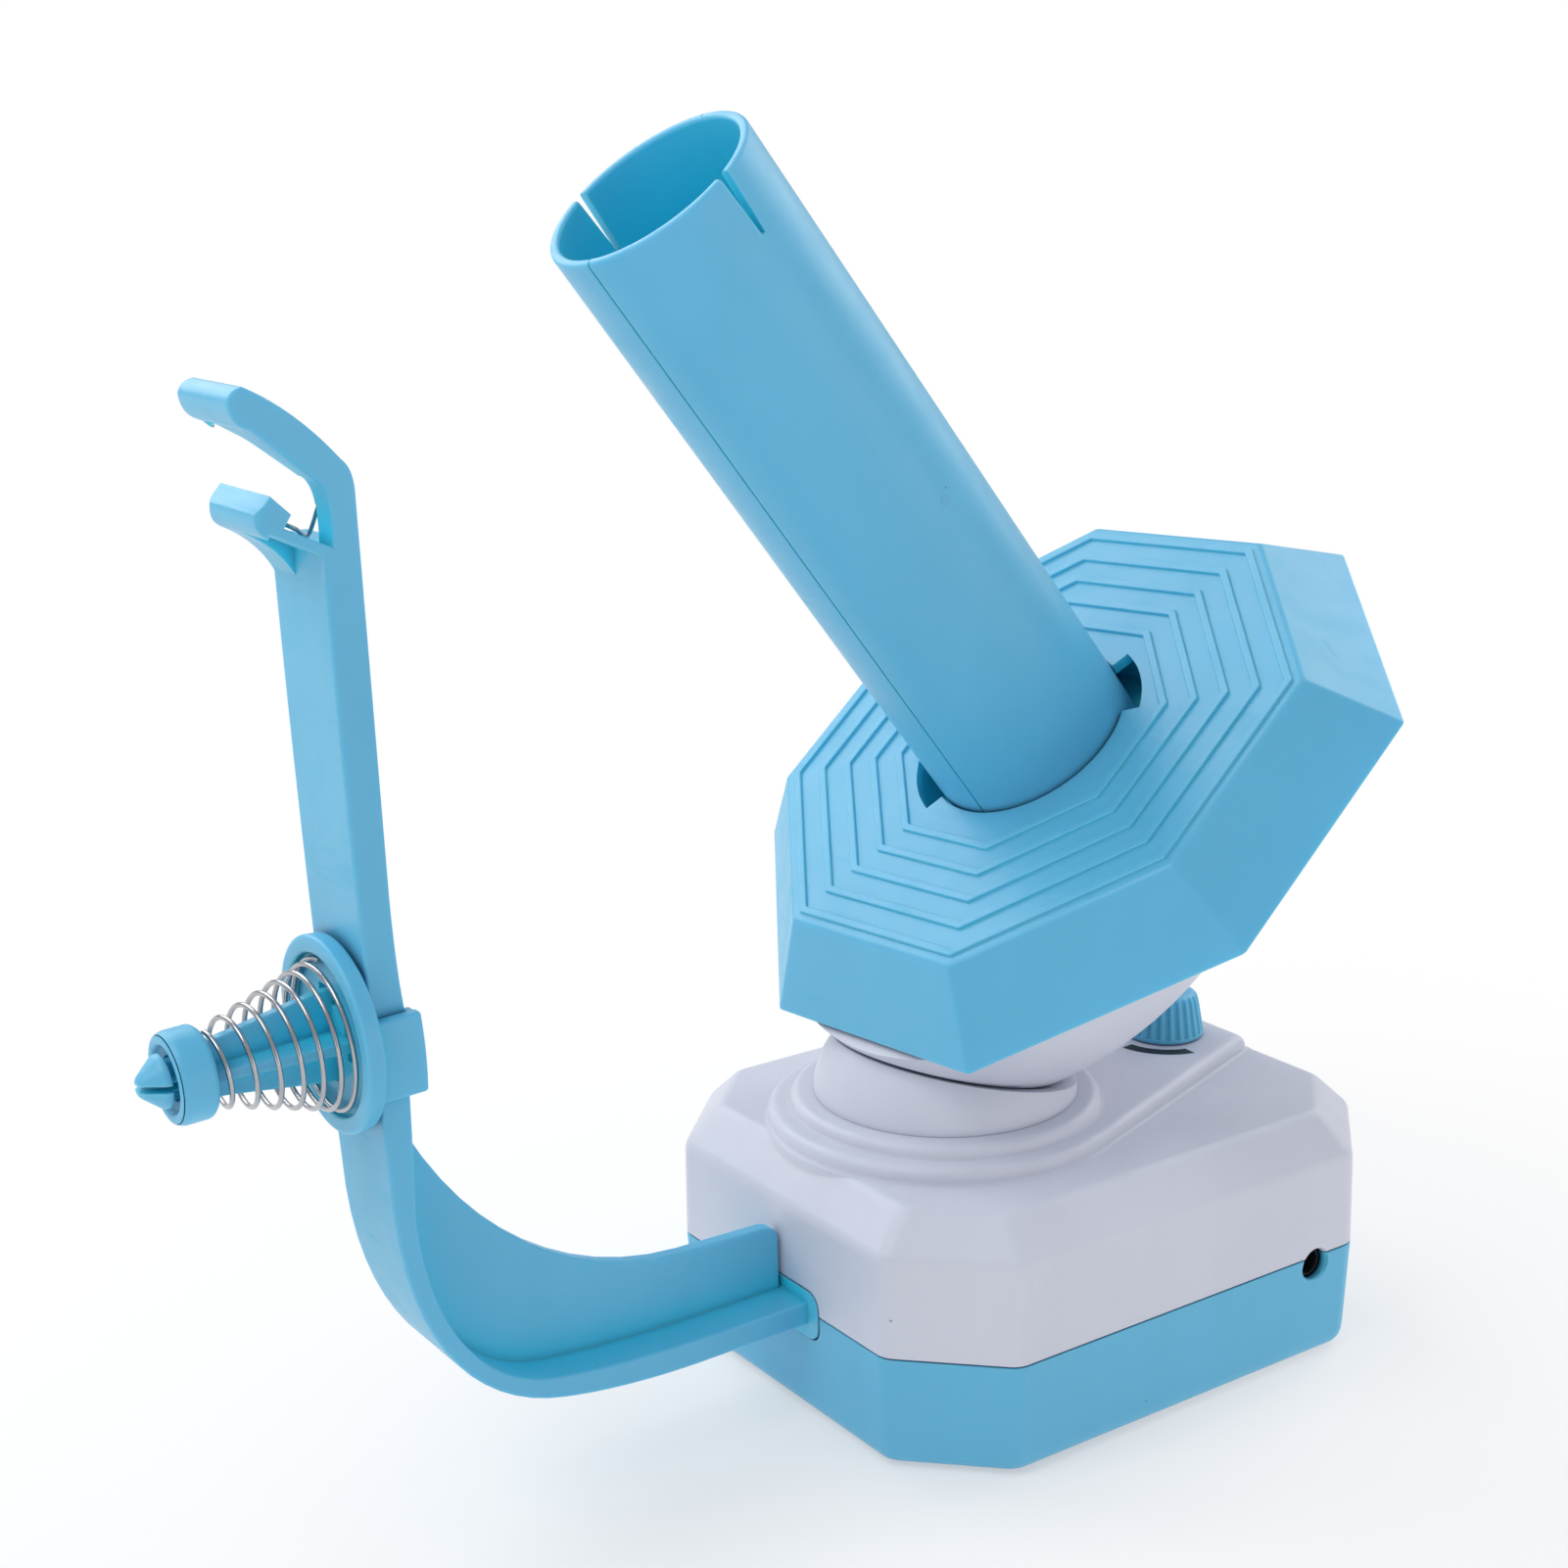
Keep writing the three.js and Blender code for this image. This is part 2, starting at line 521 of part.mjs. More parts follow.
function transferGear() {
  const apexHeight = APEX_Z - BEVEL_APEX * Math.cos(TILT);
  const bevel = spoolBevel(0).translate([TRANSFER_OFFSET, 0, apexHeight]);
  const turn = Math.PI + Math.PI / TEETH.transfer;
  const spur = spurGear(TEETH.transfer, SUN_MODULE, turn, SUN_GEAR.low, SUN_GEAR.high, TRANSFER_OFFSET);
  const stem = rod(SUN_GEAR.low, apexHeight - BEVEL_LARGE + 0.5, 4.5, 4.5, 24, TRANSFER_OFFSET);
  const bore = rod(60, 110, 1.9, 1.9, 16, TRANSFER_OFFSET);
  return cut(join(bevel, spur, stem), bore);
}

function planetGear() {
  const bevel = spoolBevel(Math.PI / TEETH.bevel).translate([0, 0, -BEVEL_APEX]);
  const boss = rod(-(BEVEL_APEX + BEVEL_SMALL) - 0.2, -(BEVEL_APEX + BEVEL_SMALL) + 2.4, 6.5, 6.5, 24);
  return cut(join(bevel, boss), rod(-80, -50, 4.2, 4.2, 24));
}

function addRotor() {
  piece(head, "fixed_post", "steel", cut(rod(4, 73.5, 4, 4, 32), rod(66, 75, 1.4, 1.4, 12)));
  const sun = spurGear(TEETH.sun, SUN_MODULE, 0, SUN_GEAR.low, SUN_GEAR.high);
  piece(head, "sun_gear", "acetal", cut(sun, rod(60, 80, 4.2, 4.2, 24)));
  piece(head, "sun_gear_screw", "steel", screw(0, 0, 73.8, 75.8, 3.4, 67, 1.15));
  piece(head, "rotor_bell", "white", rotorBell());
  piece(head, "rotor_bowl", "white", rotorBowl());
  ROTOR_SCREWS.forEach(([x, y], i) => {
    piece(head, `rotor_screw_${i + 1}`, "steel", screw(x, y, 55.7, 57.5, 2.5, seamHeight(x) + 6, 1.05));
  });
  piece(head, "rotor_bush", "bronze", pipe(46, 54.6, 11.7, 9.3, 32));
  piece(head, "post_bush_upper", "bronze", pipe(50, 58, 6.3, 4.3, 24));
  piece(head, "post_bush_lower", "bronze", pipe(35.4, 43, 6.3, 4.3, 24));
  piece(head, "hub_retaining_ring", "steel", pipe(35.6, 36.4, 11.2, 8.5, 32));
  piece(head, "transfer_gear", "acetal", transferGear());
  const { low, high, radius } = TRANSFER_PIN;
  piece(head, "transfer_pin", "steel", rod(low, high, radius, radius, 12, TRANSFER_OFFSET));
}

// ---------------------------------------------------------------- spool
const TUBE = { foot: 43.4, length: 133.5, radius: 20.2, topRadius: 19.6, wall: 1.8 };
const NOTCH = { radius: 24.5, start: -61, sweep: 41 };
const LUG = { start: NOTCH.start - 40, sweep: 37, high: 36, low: 39 };

function platePolygon(radius, height) {
  const ring = [];
  for (let i = 0; i < 8; i++) {
    const angle = PLATE.turn + i * 45 * DEG;
    ring.push([radius * Math.cos(angle), radius * Math.sin(angle), height]);
  }
  return ring;
}

function plateRib(radius) {
  const [low, high] = [-PLATE.top - 0.5, -PLATE.top + RIB.height];
  const inner = radius - RIB.width;
  const outer = skinned([platePolygon(radius, low), platePolygon(radius - 0.15, high)]);
  return cut(outer, skinned([platePolygon(inner, low - 1), platePolygon(inner, high + 1)]));
}

// A ring sector between two radii and two heights.
function sector(inner, outer, start, sweep, low, high) {
  const shape = new THREE.Shape();
  shape.absarc(0, 0, outer, start * DEG, (start + sweep) * DEG, false);
  shape.absarc(0, 0, inner, (start + sweep) * DEG, start * DEG, true);
  return extruded(shape, high - low).translate([0, 0, low]);
}

function spoolPlate() {
  const outside = skinned([
    platePolygon(PLATE.rimRadius, -PLATE.underside),
    platePolygon(PLATE.topRadius, -PLATE.top),
  ]);
  const inside = skinned([
    platePolygon(PLATE.rimRadius - 1.4, -PLATE.underside - 1),
    platePolygon(PLATE.topRadius - 0.8, -PLATE.top - WALL),
  ]);
  const ribs = Array.from({ length: RIB.count }, (_, i) => plateRib(RIB.outer - RIB.pitch * i));
  const [above, below] = [-PLATE.top + 4, -PLATE.top - 4];
  const socket = rod(-SOCKET.low, -PLATE.top - 0.5, SOCKET.outer, SOCKET.outer, 32);
  const socketHollow = rod(-SOCKET.floor, -PLATE.top - WALL, SOCKET.inner, SOCKET.inner, 32);
  const tubeHole = rod(below, above, TUBE.radius + 0.4, TUBE.radius + 0.4, 48);
  const notches = [0, 180].map((turn) => {
    return sector(19, NOTCH.radius, NOTCH.start + turn, NOTCH.sweep, below, above);
  });
  const shell = cut(join(cut(outside, inside), ...ribs, socket), socketHollow, tubeHole, ...notches);
  const hub = rod(-SOCKET.low, -35, SOCKET.hub, SOCKET.hub, 24);
  return cut(join(shell, hub), rod(-50, -30, SOCKET.bore, SOCKET.bore, 20));
}

function yarnTube() {
  const [low, high] = [-TUBE.foot, -PLATE.top + TUBE.length];
  const wall = cut(
    rod(low, high, TUBE.radius, TUBE.topRadius, 48),
    rod(low - 1, high + 1, TUBE.radius - TUBE.wall, TUBE.topRadius - TUBE.wall, 48),
  );
  const lugs = [0, 180].map((turn) => sector(19.4, 24, LUG.start + turn, LUG.sweep, -LUG.low, -LUG.high));
  const slits = [99.5, -80.5].map((angle) => {
    const [depth, wide, narrow] = [12, 1.15, 0.45];
    const outline = (half) => [[16, -half], [24, -half], [24, half], [16, half]];
    const level = (half, height) => outline(half).map(([x, y]) => [x, y, height]);
    return skinned([level(narrow, high - depth), level(wide, high + 1)]).rotate([0, 0, angle]);
  });
  return cut(join(wall, ...lugs), ...slits);
}

function addSpool() {
  const shaft = cut(rod(-71.5, -35, 4, 4, 24), rod(-45, -34, 1.7, 1.7, 10), rod(-73, -64, 1.4, 1.4, 10));
  piece(spool, "spool_shaft", "steel", shaft);
  piece(spool, "spool_shaft_screw", "steel", screw(0, 0, -34.7, -32.2, 4, -42, 1.4));
  piece(spool, "spool_bush", "bronze", pipe(-61, -50, 6.2, 4.3, 24));
  piece(spool, "planet_gear", "acetal", planetGear());
  piece(spool, "planet_gear_screw", "steel", screw(0, 0, -71.8, -73.6, 3.2, -66, 1.15));
  piece(spool, "spool_plate", "blue", spoolPlate());
  piece(spool, "yarn_tube", "blue", yarnTube());
}

// ---------------------------------------------------------------- yarn arm
const LEDGE_Z = 177.3;
const NECK_Y = -4.7;
const GUIDE_PATH = [
  point(-143.5, -6.5, 188), point(-145, -4.9, 183.5), point(-146, -2, 178.3),
  point(-149, -4.5, 179.9), point(-152.5, -7.5, 181.6), point(-155, -7.6, 183.3),
];

// Side view of the broad strip: foot, bend, upright and the two prongs of the yarn hook.
function armStrip() {
  const shape = new THREE.Shape();
  shape.moveTo(-60.1, 20.2).lineTo(-84, 19.8).quadraticCurveTo(-100, 19.8, -112, 22.2);
  shape.bezierCurveTo(-128.6, 25.2, -140.3, 39.6, -142.5, 64);
  shape.quadraticCurveTo(-145.9, 120, -147.1, 171.4);
  shape.quadraticCurveTo(-149.8, 176.6, -155.6, 179.4).quadraticCurveTo(-158, 181, -157.2, 183.6);
  shape.lineTo(-154.9, 186.1).lineTo(-151.7, 183).lineTo(-153, 181).lineTo(-145.4, LEDGE_Z);
  shape.quadraticCurveTo(-145, 185.6, -147.4, 187.7).lineTo(-157.2, 196);
  shape.quadraticCurveTo(-160.4, 196.8, -160.7, 200.4).quadraticCurveTo(-160.2, 202.4, -158, 202.6);
  shape.quadraticCurveTo(-150, 198.8, -143, 190.6).quadraticCurveTo(-141, 189, -141, 185);
  shape.lineTo(-139.7, 120).quadraticCurveTo(-139.3, 108, -138.3, 101).lineTo(-138.3, 88);
  shape.quadraticCurveTo(-138.3, 78, -138.6, 64).bezierCurveTo(-137.3, 42, -127, 27.8, -112, 26.3);
  shape.quadraticCurveTo(-100, 24.8, -84, 24.6).lineTo(-60.1, 24.6);
  return slab(shape, ARM_WIDTH);
}

function armWeb() {
  const shape = new THREE.Shape();
  shape.moveTo(-60.6, 23).lineTo(-60.6, 35).quadraticCurveTo(-60.8, 37.2, -64, 37.6).lineTo(-82, 38);
  shape.bezierCurveTo(-110, 39, -131, 60, -140.5, 87).quadraticCurveTo(-141.6, 70, -140, 56);
  shape.bezierCurveTo(-137, 38, -126, 26, -112, 24.6).quadraticCurveTo(-98, 22.8, -84, 23);
  return slab(shape, WEB);
}

// What is taken off the hook: the far side of its neck, the far side of its upper prong, and a
// pocket on the near side under its lower prong.
function hookCuts() {
  const far = ARM_WIDTH / 2 + 0.1;
  const neck = block(-147.6, -137, NECK_Y, far, LEDGE_Z, 190);
  const prong = skinned([186.6, 204].map((height) => [
    [-159.5, far, height], [-154.5, -1.5, height], [-146.5, -4, height],
    [-141.5, NECK_Y, height], [-137, NECK_Y, height], [-137, far, height],
  ]));
  const pocket = skinned([-far, 0.7].map((across) => [
    [-155.5, across, 180.4], [-147.3, across, 176.2], [-147.3, across, 171], [-158, across, 171],
  ]));
  return [neck, prong, pocket];
}

function yarnArm() {
  const tab = block(-60.1, -57.7, -13, 13, 17.3, 26.9);
  const plug = join(block(-57.8, -47, -11.5, -3, 18.5, 25.7), block(-57.8, -47, 3, 11.5, 18.5, 25.7));
  const guideBore = wireAlong(GUIDE_PATH, 0.62, 18, 6);
  return cut(join(armStrip(), armWeb(), tab, plug), ...hookCuts(), guideBore);
}

// One blade of the post that carries the spring: wide at the disc and narrow towards the tip.
function postBlade() {
  const shape = new THREE.Shape();
  shape.moveTo(-POST.root, 1).lineTo(POST.root, 1).lineTo(POST.root, POST.rootHigh);
  shape.lineTo(POST.tip, POST.tipHigh).lineTo(POST.core, POST.tipHigh).lineTo(POST.core, POST.high);
  shape.lineTo(-POST.core, POST.high).lineTo(-POST.core, POST.tipHigh).lineTo(-POST.tip, POST.tipHigh);
  shape.lineTo(-POST.root, POST.rootHigh);
  return slab(shape, 2 * POST.blade);
}

function tensionDisc() {
  const disc = rod(GAP, DISC.high, DISC.radius, DISC.radius - 0.6, 40);
  const recess = rod(DISC.floor, 5, DISC.recess, DISC.recess, 32);
  const windows = [0, 90, 180, 270].map((turn) => {
    return block(-WINDOW.half, WINDOW.half, WINDOW.near, WINDOW.far, -1, 5).rotate([0, 0, turn]);
  });
  const barb = rod(POST.high - 0.1, BARB.high, BARB.radius, BARB.tip, 20);
  const split = block(-0.6, 0.6, -6, 6, 24, 40);
  const grip = ARM_WIDTH / 2 + GAP;
  const jaws = [-1, 1].map((side) => {
    const wall = block(JAW.down, JAW.up, grip, grip + JAW.wall, JAW.back, 2);
    const lip = block(JAW.down, JAW.up, grip - JAW.reach, grip + JAW.wall, JAW.back, JAW.lip);
    return join(wall, lip).scale([1, side, 1]);
  });
  const body = join(cut(disc, recess, ...windows), postBlade(), postBlade().rotate([0, 0, 90]), barb);
  return join(cut(body, split), ...jaws);
}

function tensionSpring() {
  const { turns, start, end, low, high, wire, bunching } = SPRING;
  const steps = turns * 12;
  const points = [];
  for (let i = 0; i <= steps; i++) {
    const s = i / steps;
    const angle = s * turns * 2 * Math.PI;
    const radius = start + (end - start) * s;
    const height = low + (high - low) * s ** bunching;
    points.push(point(radius * Math.cos(angle), radius * Math.sin(angle), height));
  }
  return wireAlong(points, wire, steps, 5);
}

// A ring that the spring pushes against the post's barb, hollow underneath to pass over the blades.
function tensionCap() {
  const { low, roof, high, radius, inner, mouth, bore } = CAP;
  const outside = turned([
    [0, low], [radius - 0.9, low], [radius, low + 0.8], [radius, high - 0.9], [radius - 0.7, high],
    [mouth + 0.6, high], [mouth, high - 1], [0, high - 1],
  ], 32);
  return cut(outside, rod(low - 1, roof, inner, inner, 24), rod(roof - 1, high, bore, bore, 24));
}

function addArm() {
  piece(winder, "yarn_arm", "blue", yarnArm());
  piece(winder, "wire_guide", "steel", wireAlong(GUIDE_PATH, 0.35, 18, 6));
  piece(tension, "tension_disc", "blue", tensionDisc());
  piece(tension, "tension_spring", "steel", tensionSpring());
  piece(tension, "tension_cap", "blue", tensionCap());
}

// ---------------------------------------------------------------- speed control and electrics
function speedKnob() {
  const [low, high, ribs] = [52.9, 62, 18];
  const profile = [[0, low], [8.1, low], [8.1, 53.6], [6.9, 60], [6.2, 61.2], [4.8, high], [0, high]];
  const cap = turned(profile, 32);
  const grooves = Array.from({ length: ribs }, (_, i) => {
    const angle = (i / ribs) * 2 * Math.PI;
    const groove = rod(low + 0.9, 61.4, 0.5, 0.4, 4).rotate([0, -7, 0]).translate([8.9, 0, 0]);
    return groove.rotate([0, 0, angle / DEG]);
  });
  const hollow = rod(low - 1, 56.4, 6.1, 6.1, 24);
  const bore = rod(50, 60.2, 3.3, 3.3, 24);
  return cut(cap, hollow, bore, ...grooves).translate([KNOB_X, 0, 0]);
}

function potentiometerBody() {
  const body = join(rod(39.2, 46.8, 8, 8, 32, KNOB_X), rod(46.7, 54.8, 3.4, 3.4, 24, KNOB_X));
  return cut(body, rod(42, 56, 2.6, 2.6, 20, KNOB_X));
}

function dcJack() {
  const housing = join(turnedAlongY(5.4, -46.3, -36), turnedAlongY(2.95, -48.6, -46.2));
  return cut(housing, turnedAlongY(2.5, -52, -39));
}

function addControls() {
  piece(winder, "speed_knob", "blue", speedKnob());
  piece(winder, "potentiometer_body", "black", potentiometerBody());
  piece(winder, "potentiometer_shaft", "steel", rod(43, 59.8, 2.3, 2.3, 20, KNOB_X));
  const nut = cut(rod(52.8, 54.5, 5, 5, 6, KNOB_X), rod(52, 56, 3.7, 3.7, 20, KNOB_X));
  piece(winder, "potentiometer_nut", "steel", nut);
  piece(winder, "dc_jack", "black", dcJack());
  piece(winder, "dc_jack_pin", "steel", turnedAlongY(0.9, -47.5, -39.3, 12));
  piece(winder, "circuit_board", "board", block(-8, 34, 27, 45, 10, 11.6));
  piece(winder, "board_capacitor", "black", rod(11.9, 20, 4, 4, 20, 4, 36));
  const wires = {
    motor_wire_red: ["red", [24, 30, 12.6], [26, 14, 14], [22, 4, 6], [25, -4, 4], [30, -14, 4]],
    motor_wire_black: ["black", [20, 30, 12.6], [20, 15, 12], [17, 4, 6], [21, -5, 4], [27, -17, 4]],
    jack_wire_red: ["red", [14, 30, 12.6], [13, 12, 13], [14, -18, 9], [22, -33, 16], [31, -34.6, 21]],
    jack_wire_black: ["black", [9, 30, 12.6], [10, 10, 12], [10.5, -22, 8], [22, -33, 10], [34, -34.6, 18]],
  };
  for (const [name, [look, ...stops]] of Object.entries(wires)) {
    piece(winder, name, look, wireAlong(stops.map((stop) => point(...stop)), 0.75, 12, 5));
  }
}

addBase();
addDrive();
addRotor();
addSpool();
addArm();
addControls();

export default winder;
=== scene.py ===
"""Looks of an electric yarn ball winder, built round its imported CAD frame.

Shapes are drawn in millimetres in four local frames (base, head, spool and tension). Those frames come from the
packed joints and boxes, so every piece lands where the CAD has it. Solids are skinned over rings of points, then
joined and cut.
"""
import json
import math

import bmesh
import bpy
from mathutils import Matrix, Vector


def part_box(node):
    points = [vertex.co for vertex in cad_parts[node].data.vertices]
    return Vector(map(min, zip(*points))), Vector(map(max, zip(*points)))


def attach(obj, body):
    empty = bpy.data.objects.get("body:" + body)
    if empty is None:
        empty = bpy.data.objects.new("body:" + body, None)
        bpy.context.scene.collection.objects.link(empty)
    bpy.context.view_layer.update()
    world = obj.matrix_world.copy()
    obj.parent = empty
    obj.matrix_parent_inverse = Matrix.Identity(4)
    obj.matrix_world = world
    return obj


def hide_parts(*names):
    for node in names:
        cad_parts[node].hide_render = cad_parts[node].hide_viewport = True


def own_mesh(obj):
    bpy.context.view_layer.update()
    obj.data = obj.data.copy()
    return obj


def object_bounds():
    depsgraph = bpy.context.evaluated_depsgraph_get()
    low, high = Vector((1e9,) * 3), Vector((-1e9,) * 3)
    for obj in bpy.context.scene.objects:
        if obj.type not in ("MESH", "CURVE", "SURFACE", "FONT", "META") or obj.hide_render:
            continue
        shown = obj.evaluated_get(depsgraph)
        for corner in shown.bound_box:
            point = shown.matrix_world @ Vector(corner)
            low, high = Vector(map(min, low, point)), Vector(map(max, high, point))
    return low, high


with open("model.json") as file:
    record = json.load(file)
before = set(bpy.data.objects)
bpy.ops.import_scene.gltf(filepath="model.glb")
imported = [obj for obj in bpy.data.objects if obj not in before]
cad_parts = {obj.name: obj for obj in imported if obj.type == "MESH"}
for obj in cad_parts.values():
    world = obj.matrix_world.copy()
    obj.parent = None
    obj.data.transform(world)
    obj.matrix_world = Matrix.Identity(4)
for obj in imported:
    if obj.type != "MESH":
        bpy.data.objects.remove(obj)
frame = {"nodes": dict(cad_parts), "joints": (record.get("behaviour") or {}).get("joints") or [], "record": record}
CAD_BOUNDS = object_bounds()

# ---------------------------------------------------------------- driving dimensions, in millimetres
MM = 0.001
GAP = 0.3
ROUND = 96

# Levels of the eight-sided base: half length, half width, corner cut and height.
BOTTOM = Vector((58.9, 49.6, 17.1, 2.2))
SPLIT = Vector((59.9, 50.6, 17.6, 22.6))
SHOULDER = Vector((60.0, 51.3, 18.8, 42.3))
TOP = Vector((52.7, 43.7, 13.5, 49.5))
UNDERSIDE = 0.8
CORNER_RADIUS = 4.6
SKIN = 1.2

COLLAR_RADIUS = 34.9
COLLAR_STEP = 52.5
RING_RADIUS = 30.4
RING_TOP = 55.1
BELL_FOOT = 55.13
TAIL = {"end": 51.6, "half_width": 11.8}
SEAM = {"z": 61.5, "slope": 0.245}

PLATE = {"top": -33.24, "rim": -48.24, "top_radius": 58.2, "rim_radius": 71.6, "turn": 27.15}
RIB = {"outer": 56.2, "pitch": 6.36, "width": 1.65, "height": 0.6, "count": 5}
TUBE = {"foot": -43.4, "length": 133.5, "radius": 20.2, "top_radius": 19.6, "wall": 1.8}
NOTCH = {"radius": 24.5, "start": -61, "sweep": 41}
ARM_WIDTH = 19.8
TAB = {"half": 13.0, "low": 17.3, "high": 26.9, "face": -60.1, "back": -57.7}
LEDGE_Z = 177.3
NECK_Y = -4.7
CAP = {"low": 24.4, "roof": 28.4, "high": 30.8, "radius": 7.8, "inner": 5.7, "mouth": 5.3, "bore": 3.8}
SPRING = {"turns": 7, "start": 12.9, "end": 6.3, "low": 2.9, "high": 23.6, "wire": 0.45, "bunching": 1.35, "belly": 1.25}
KNOB_RIBS = 24


# ---------------------------------------------------------------- local frames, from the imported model
def joint(name):
    return next(j for j in frame["joints"] if j["name"] == name)


def middle(node):
    low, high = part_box(node)
    return (low + high) / 2


def local_frame(origin, x, y, z):
    return Matrix.Translation(origin) @ Matrix((x, y, z)).transposed().to_4x4()


def spool_frame():
    """z up the spool's axis, x down the slope of the plate."""
    z = Vector(joint("spool_spin")["axis"]).normalized()
    y = Vector((0, -1, 0))
    return local_frame(Vector(joint("spool_spin")["pos_m"]), y.cross(z), y, z)


def tension_frame():
    """z out of the arm's outer face, x up the arm."""
    z = -Vector(joint("tension_press")["axis"]).normalized()
    y = Vector((0, 1, 0))
    out = (CAP["low"] + CAP["high"]) / 2 * MM
    return local_frame(middle("tension_cap") - z * out, y.cross(z), y, z)


BASE = Matrix.Translation((middle("base_bottom_shell").x, 0, 0))
HEAD = Matrix.Translation((joint("head_spin")["pos_m"][0], 0, 0))
SPOOL = spool_frame()
TENSION = tension_frame()
HEAD_X = (HEAD.translation.x - BASE.translation.x) / MM
KNOB_X = (joint("knob_turn")["pos_m"][0] - BASE.translation.x) / MM
JACK_X = (middle("dc_jack").x - BASE.translation.x) / MM
JACK_Z = middle("dc_jack").z / MM
APEX_Z = joint("spool_spin")["pos_m"][2] / MM
TILT = math.acos(SPOOL.col[2].z)


# ---------------------------------------------------------------- outlines and rings
def circle(radius, z=0.0, count=ROUND, x=0.0, y=0.0):
    turn = 2 * math.pi / count
    return [Vector((x + radius * math.cos(i * turn), y + radius * math.sin(i * turn), z)) for i in range(count)]


def rounded(corners, radius, arc=5, side=0):
    """A convex outline with round corners, and with extra points along its sides."""
    outline = []
    count = len(corners)
    for i, corner in enumerate(corners):
        before = (corners[i - 1] - corner).normalized()
        after = (corners[(i + 1) % count] - corner).normalized()
        half = before.angle(after) / 2
        centre = corner + (before + after).normalized() * radius / math.sin(half)
        start = corner + before * radius / math.tan(half) - centre
        sweep = math.pi - 2 * half
        for k in range(arc + 1):
            outline.append(centre + Matrix.Rotation(sweep * k / arc, 2) @ start)
        here = outline[-1]
        following = corners[(i + 1) % count]
        reach = radius / math.tan(following_half(corners, i + 1))
        there = following - after * reach
        outline += [here.lerp(there, (k + 1) / (side + 1)) for k in range(side)]
    return outline


def following_half(corners, i):
    count = len(corners)
    corner = corners[i % count]
    before = corners[(i - 1) % count] - corner
    return before.angle(corners[(i + 1) % count] - corner) / 2


def lifted(outline, z):
    return [Vector((p.x, p.y, z)) for p in outline]


def octagon(level, inset=0.0, radius=CORNER_RADIUS):
    """One level of the base as a ring of points with round corners."""
    x, y, z = level[0] - inset, level[1] - inset, level[3]
    k = level[2] - inset * (2 - math.sqrt(2))
    corners = [(x, y - k), (x - k, y), (k - x, y), (-x, y - k), (-x, k - y), (k - x, -y), (x - k, -y), (x, k - y)]
    return lifted(rounded([Vector(c) for c in corners], radius), z)


def softened(levels, reaches, steps=5):
    """Levels with each inner one turned into a curve that starts and ends its reach away."""
    result = [levels[0]]
    for before, here, after, reach in zip(levels, levels[1:], levels[2:], reaches):
        start = here + (before - here) * (reach / (before - here).length)
        end = here + (after - here) * (reach / (after - here).length)
        for k in range(steps + 1):
            t = k / steps
            result.append(start * (1 - t) ** 2 + here * 2 * t * (1 - t) + end * t * t)
    return result + [levels[-1]]


def soft_profile(points, reaches, steps=5):
    return softened([Vector(p) for p in points], reaches, steps)


def curve(start, *parts, steps=14):
    """A flat path: each part is its control points and its end, so one point is a line and two or three a curve."""
    path = [Vector(start)]
    for part in parts:
        stops = [path[-1]] + [Vector(p) for p in part]
        if len(stops) == 2:
            path.append(stops[1])
            continue
        for k in range(1, steps + 1):
            path.append(bezier(stops, k / steps))
    return path


def bezier(stops, t):
    while len(stops) > 1:
        stops = [a.lerp(b, t) for a, b in zip(stops, stops[1:])]
    return stops[0]


# ---------------------------------------------------------------- solids
def solid(points, faces):
    """A closed object in local millimetres, with its faces pointing out."""
    mesh = bpy.data.meshes.new("solid")
    mesh.from_pydata([tuple(p) for p in points], [], faces)
    return tidy_solid(mesh)


def tidy_solid(mesh):
    body = bmesh.new()
    body.from_mesh(mesh)
    bmesh.ops.remove_doubles(body, verts=body.verts, dist=0.0005)
    bmesh.ops.recalc_face_normals(body, faces=body.faces)
    body.to_mesh(mesh)
    body.free()
    item = bpy.data.objects.new("solid", mesh)
    bpy.context.scene.collection.objects.link(item)
    return item


def skinned(rings, loop=False):
    """A solid skinned over rings with equal numbers of points: closed on itself, or capped at both ends."""
    count, levels = len(rings[0]), len(rings)
    faces = []
    for level in range(levels if loop else levels - 1):
        low, high = level * count, (level + 1) % levels * count
        for i in range(count):
            j = (i + 1) % count
            faces.append((low + i, low + j, high + j, high + i))
    if not loop:
        faces.append(tuple(reversed(range(count))))
        faces.append(tuple(range((levels - 1) * count, levels * count)))
    return solid([p for ring in rings for p in ring], faces)


def turned(profile, count=ROUND, loop=False, x=0.0, y=0.0):
    return skinned([circle(radius, z, count, x, y) for radius, z in profile], loop)


def rod(low, high, radius, top_radius=None, count=32, x=0.0, y=0.0):
    top = radius if top_radius is None else top_radius
    return turned([(radius, low), (top, high)], count, x=x, y=y)


def pipe(low, high, outer, inner, count=ROUND, soft=0.3):
    """A short sleeve with eased edges."""
    profile = [
        (inner, low + soft), (inner + soft, low), (outer - soft, low), (outer, low + soft),
        (outer, high - soft), (outer - soft, high), (inner + soft, high), (inner, high - soft),
    ]
    return turned(profile, count, loop=True)


def block(x0, x1, y0, y1, z0, z1):
    base = [(x0, y0), (x1, y0), (x1, y1), (x0, y1)]
    return skinned([[Vector((x, y, z)) for x, y in base] for z in (z0, z1)])


def soft_block(x0, x1, y0, y1, z0, z1, radius):
    return softly(block(x0, x1, y0, y1, z0, z1), radius)


